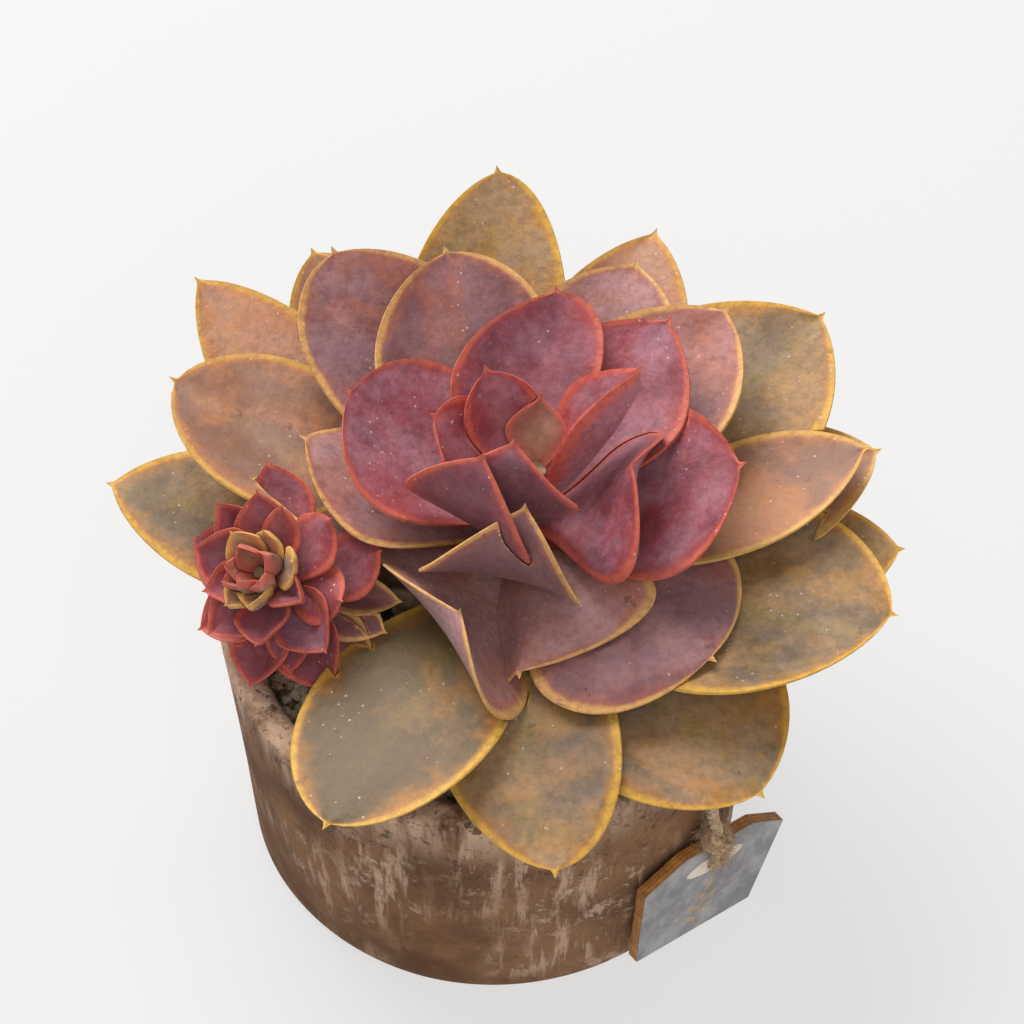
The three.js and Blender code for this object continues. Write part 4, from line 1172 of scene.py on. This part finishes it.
face_paint = mixed(tree, painted_oval(0, TAG["hole_at"], 8.2, 2.7, 0, 0.05), slate,
                   (0.80, 0.68, 0.56))
sprig = painted_oval(-0.6, 9.5, 7.0, 0.28, 82)
for x, y, turn in ((-2.6, 5.6, 150), (1.6, 7.6, 30), (-2.6, 9.6, 150), (2.0, 11.6, 35),
                   (-1.8, 13.6, 145), (0.5, 16.6, 80)):
    sprig = reckon(tree, "MAXIMUM", sprig, painted_oval(x, y, 2.3, 0.85, turn))
rubbed = stretch(tree, noise(tree, place, 700, 4), 0.35, 0.6, 0.35, 0.9)
face_paint = mixed(tree, reckon(tree, "MULTIPLY", sprig, rubbed), face_paint,
                   (0.50, 0.33, 0.15))
is_front = stretch(tree, axis["Z"], -0.30, -0.12)
colour = mixed(tree, is_front, burnt, face_paint)
tree.links.new(colour, shader.inputs["Base Color"])
bump(tree, shader, noise(tree, place, 1300, 4), 0.0003, 0.6)
tag.data.materials.clear()
tag.data.materials.append(wood)
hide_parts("tag")
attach(tag, "root")

# %% [markdown]
# ## The twine and its knot
# The tag is tied on with a short length of jute: from a stopper knot inside the pot, out through
# the hole under the rim and down to a wrapped knot above the tag, and from there in two strands
# through the tag's hole. Jute is three loose yarns laid round each other, and it sheds fibres.
# Geometry Nodes lay three yarns round any line that they are given, and another tree grows the
# loose fibres on them, so one route of points is all that each length of twine needs.


# %% Yarn round a line
def smooth_line(points, steps):
    """A curve through the points, evenly eased by the distances between them."""
    points = [Vector(p) for p in points]
    line = []
    for i in range(len(points) - 1):
        b, c = points[i], points[i + 1]
        a = points[i - 1] if i else b * 2 - c
        d = points[i + 2] if i + 2 < len(points) else c * 2 - b
        t0, t1 = 0.0, max((b - a).length, 1e-4) ** 0.5
        t2 = t1 + max((c - b).length, 1e-4) ** 0.5
        t3 = t2 + max((d - c).length, 1e-4) ** 0.5
        for k in range(steps):
            t = t1 + (t2 - t1) * k / steps
            ab = a * ((t1 - t) / (t1 - t0)) + b * ((t - t0) / (t1 - t0))
            bc = b * ((t2 - t) / (t2 - t1)) + c * ((t - t1) / (t2 - t1))
            cd = c * ((t3 - t) / (t3 - t2)) + d * ((t - t2) / (t3 - t2))
            abc = ab * ((t2 - t) / (t2 - t0)) + bc * ((t - t0) / (t2 - t0))
            bcd = bc * ((t3 - t) / (t3 - t1)) + cd * ((t - t1) / (t3 - t1))
            line.append(abc * ((t2 - t) / (t2 - t1)) + bcd * ((t - t1) / (t2 - t1)))
    return [*line, points[-1]]


def line_object(name, lines):
    """Open lines of points, in millimetres, as one mesh of edges."""
    points, edges = [], []
    for line in lines:
        edges += [(len(points) + i, len(points) + i + 1) for i in range(len(line) - 1)]
        points += [tuple(p * MM) for p in line]
    mesh = bpy.data.meshes.new(name)
    mesh.from_pydata(points, edges, [])
    obj = bpy.data.objects.new(name, mesh)
    bpy.context.collection.objects.link(obj)
    return obj


yarn_tree, given, result = new_tree("three_yarns", {
    "Yarn Radius": ("Float", 0.0008), "Lay Radius": ("Float", 0.0007), "Pitch": ("Float", 0.009)})
tree = yarn_tree
wire = add(tree, "GeometryNodeMeshToCurve", {0: given["Geometry"]})
even = add(tree, "GeometryNodeResampleCurve", {"Curve": wire.outputs[0]}, mode="LENGTH")
even.inputs["Length"].default_value = 0.0004
way = add(tree, "GeometryNodeSplineParameter").outputs["Length"]
turns = reckon(tree, "DIVIDE", way, given["Pitch"])
angle = reckon(tree, "MULTIPLY", turns, 2 * math.pi)
normal = add(tree, "GeometryNodeInputNormal").outputs[0]
tangent = add(tree, "GeometryNodeInputTangent").outputs[0]
third = add(tree, "ShaderNodeVectorMath", {0: tangent, 1: normal}, operation="CROSS_PRODUCT")
gather = add(tree, "GeometryNodeJoinGeometry")
for strand in range(3):
    phase = reckon(tree, "ADD", angle, strand * 2 * math.pi / 3)
    along_n = reckon(tree, "MULTIPLY", reckon(tree, "COSINE", phase), given["Lay Radius"])
    along_b = reckon(tree, "MULTIPLY", reckon(tree, "SINE", phase), given["Lay Radius"])
    a = add(tree, "ShaderNodeVectorMath", {0: normal, "Scale": along_n}, operation="SCALE")
    b = add(tree, "ShaderNodeVectorMath", {0: third.outputs[0], "Scale": along_b},
            operation="SCALE")
    shift = add(tree, "ShaderNodeVectorMath", {0: a.outputs[0], 1: b.outputs[0]},
                operation="ADD")
    laid = add(tree, "GeometryNodeSetPosition", {"Geometry": even.outputs[0],
               "Offset": shift.outputs[0]})
    section = add(tree, "GeometryNodeCurvePrimitiveCircle", {"Resolution": 10,
                  "Radius": given["Yarn Radius"]})
    yarn = add(tree, "GeometryNodeCurveToMesh", {"Curve": laid.outputs[0],
               "Profile Curve": section.outputs[0], "Fill Caps": True})
    tree.links.new(yarn.outputs[0], gather.inputs[0])
real = add(tree, "GeometryNodeRealizeInstances", {0: gather.outputs[0]})
smooth = add(tree, "GeometryNodeSetShadeSmooth", {0: real.outputs[0]})
coated = add(tree, "GeometryNodeSetMaterial", {"Geometry": smooth.outputs[0],
             "Material": given["Material"]})
tree.links.new(coated.outputs[0], result)

# %% Loose fibres
fibre_tree, given, result = new_tree("loose_fibres", {
    "Density": ("Float", 900000.0), "Length": ("Float", 0.003),
    "Thickness": ("Float", 0.00004), "Seed": ("Int", 2)})
tree = fibre_tree
roots = add(tree, "GeometryNodeDistributePointsOnFaces", {"Mesh": given["Geometry"],
            "Density": given["Density"], "Seed": given["Seed"]}, distribute_method="RANDOM")
arc = add(tree, "GeometryNodeCurveQuadraticBezier", {"Resolution": 6, "Start": (0, 0, 0),
          "Middle": (0.15, 0.0, 0.55), "End": (0.75, 0.15, 0.7)})
hair_line = add(tree, "GeometryNodeTransform", {"Geometry": arc.outputs[0]})
size = add(tree, "ShaderNodeCombineXYZ", {"X": given["Length"], "Y": given["Length"],
           "Z": given["Length"]})
tree.links.new(size.outputs[0], hair_line.inputs["Scale"])
section = add(tree, "GeometryNodeCurvePrimitiveCircle", {"Resolution": 3,
              "Radius": given["Thickness"]})
hair = add(tree, "GeometryNodeCurveToMesh", {"Curve": hair_line.outputs[0],
           "Profile Curve": section.outputs[0], "Fill Caps": True})
lean = add(tree, "FunctionNodeRandomValue", {0: (-0.9, -0.9, -3.14), 1: (0.9, 0.9, 3.14),
           "Seed": given["Seed"]}, data_type="FLOAT_VECTOR")
leaning = add(tree, "FunctionNodeRotateEuler", {"Rotation": roots.outputs["Rotation"],
              "Rotate By": lean.outputs[0]}, space="LOCAL")
spread = add(tree, "FunctionNodeRandomValue", {2: 0.25, 3: 1.0, "Seed": given["Seed"]},
             data_type="FLOAT")
grown_hair = add(tree, "GeometryNodeInstanceOnPoints", {"Points": roots.outputs["Points"],
                 "Instance": hair.outputs[0], "Rotation": leaning.outputs[0],
                 "Scale": spread.outputs[1]})
real = add(tree, "GeometryNodeRealizeInstances", {0: grown_hair.outputs[0]})
coated = add(tree, "GeometryNodeSetMaterial", {"Geometry": real.outputs[0],
             "Material": given["Material"]})
tree.links.new(coated.outputs[0], result)

# %% Jute finish
jute, tree, shader = new_material("jute", 0.9, 0.15)
place = add(tree, "ShaderNodeTexCoord").outputs["Object"]
colour = mixed(tree, stretch(tree, noise(tree, place, 900, 4, 0.65), 0.3, 0.7),
               (0.330, 0.200, 0.100), (0.700, 0.500, 0.300))
tree.links.new(colour, shader.inputs["Base Color"])
shader.inputs["Sheen Weight"].default_value = 0.25
bump(tree, shader, noise(tree, place, 2600, 4, 0.7), 0.0003, 0.9)


def jute_twine(name, lines, yarn, lay, pitch, density, length, seed):
    """The laid yarns, and the loose fibres on them as a piece of their own."""
    path = line_object("wire", lines)
    laid = grown_on(path, yarn_tree, {"Yarn Radius": yarn * MM, "Lay Radius": lay * MM,
                    "Pitch": pitch * MM, "Material": jute}, name)
    fibres = grown_on(laid, fibre_tree, {"Density": density, "Length": length * MM, "Seed": seed,
                      "Material": jute}, name + "_fibres")
    discard(path)
    for piece in (laid, fibres):
        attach(piece, "root")
        print(piece.name, "triangles:", sum(len(p.vertices) - 2 for p in piece.data.polygons))
    return laid, fibres


# %% The knot above the tag and its two strands
middle = -TAG["thick"] / 2
LOOP_RADIUS, KNOT_RADIUS = 0.8, 3.2
above = TAG["height"] + LOOP_RADIUS + GAP
knot_at = Vector(on_tag(-2.5, above + KNOT_RADIUS * 0.7, middle + 2))


def tag_loop(side):
    return smooth_line([on_tag(x, y, z) for x, y, z in (
        (-2.5 + side * 1.2, above + 3.2, 1.4), (-1.6 + side * 1.5, above + 0.4, 2.3),
        (-0.8 + side * 1.5, 29.5, 1.25), (-0.2 + side * 1.2, 26.6, 1.2),
        (side * 0.95, 25.1, 0.3), (side * 0.95, 25.0, middle), (side * 1.0, 25.4, -3.4),
        (-0.4 + side * 1.3, 28.5, -4.1), (-1.4 + side * 1.4, above - 0.6, -3.9),
        (-2.2 + side * 1.2, above + 2.2, -1.0))], 8)


def wraps(centre, radius, rise, turns, tilt):
    """A coil of twine round the knot's heart."""
    line = []
    for k in range(int(turns * 16) + 1):
        turn = k / 16 * 2 * math.pi
        share = k / (turns * 16) - 0.5
        around = radius * (1 - 0.9 * share * share)
        p = Vector((around * math.cos(turn), around * math.sin(turn), rise * share))
        line.append(centre + tilt @ p)
    return line


tilt = Quaternion((0.4, 1, 0.2), 0.5).to_matrix()
knot_lines = [tag_loop(-1), tag_loop(1), wraps(knot_at, 2.4, 4.6, 2.8, tilt),
              wraps(knot_at, 1.0, 3.6, 1.5, Quaternion((1, 0.2, 0), 1.2).to_matrix())]
knot, knot_fibres = jute_twine("twine_knot_fine", knot_lines, yarn=0.60, lay=0.52, pitch=6.0,
                               density=1100000.0, length=4.0, seed=4)
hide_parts("twine_knot")

# %% The twine from the pot to the knot
knot_top = knot_at + Vector((0, 0, KNOT_RADIUS * 0.85 + GAP))
route = smooth_line([by_twine(47, TWINE_HEIGHT + 1), by_twine(51, TWINE_HEIGHT),
                     by_twine(61, TWINE_HEIGHT), by_twine(63.5, TWINE_HEIGHT - 3),
                     knot_top.lerp(Vector(by_twine(64, TWINE_HEIGHT - 8)), 0.5), knot_top], 8)
twine, twine_fibres = jute_twine("twine_fine", [route], yarn=0.72, lay=0.66, pitch=8.0,
                                 density=700000.0, length=3.0, seed=9)
stopper_line = wraps(Vector(by_twine(47.5, TWINE_HEIGHT + 1.5)), 1.8, 3.0, 2.2,
                     Quaternion((0, 1, 0), 1.3).to_matrix())
stopper, stopper_fibres = jute_twine("twine_stopper", [stopper_line], yarn=0.6, lay=0.5,
                                     pitch=6.0, density=500000.0, length=2.0, seed=6)
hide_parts("twine")
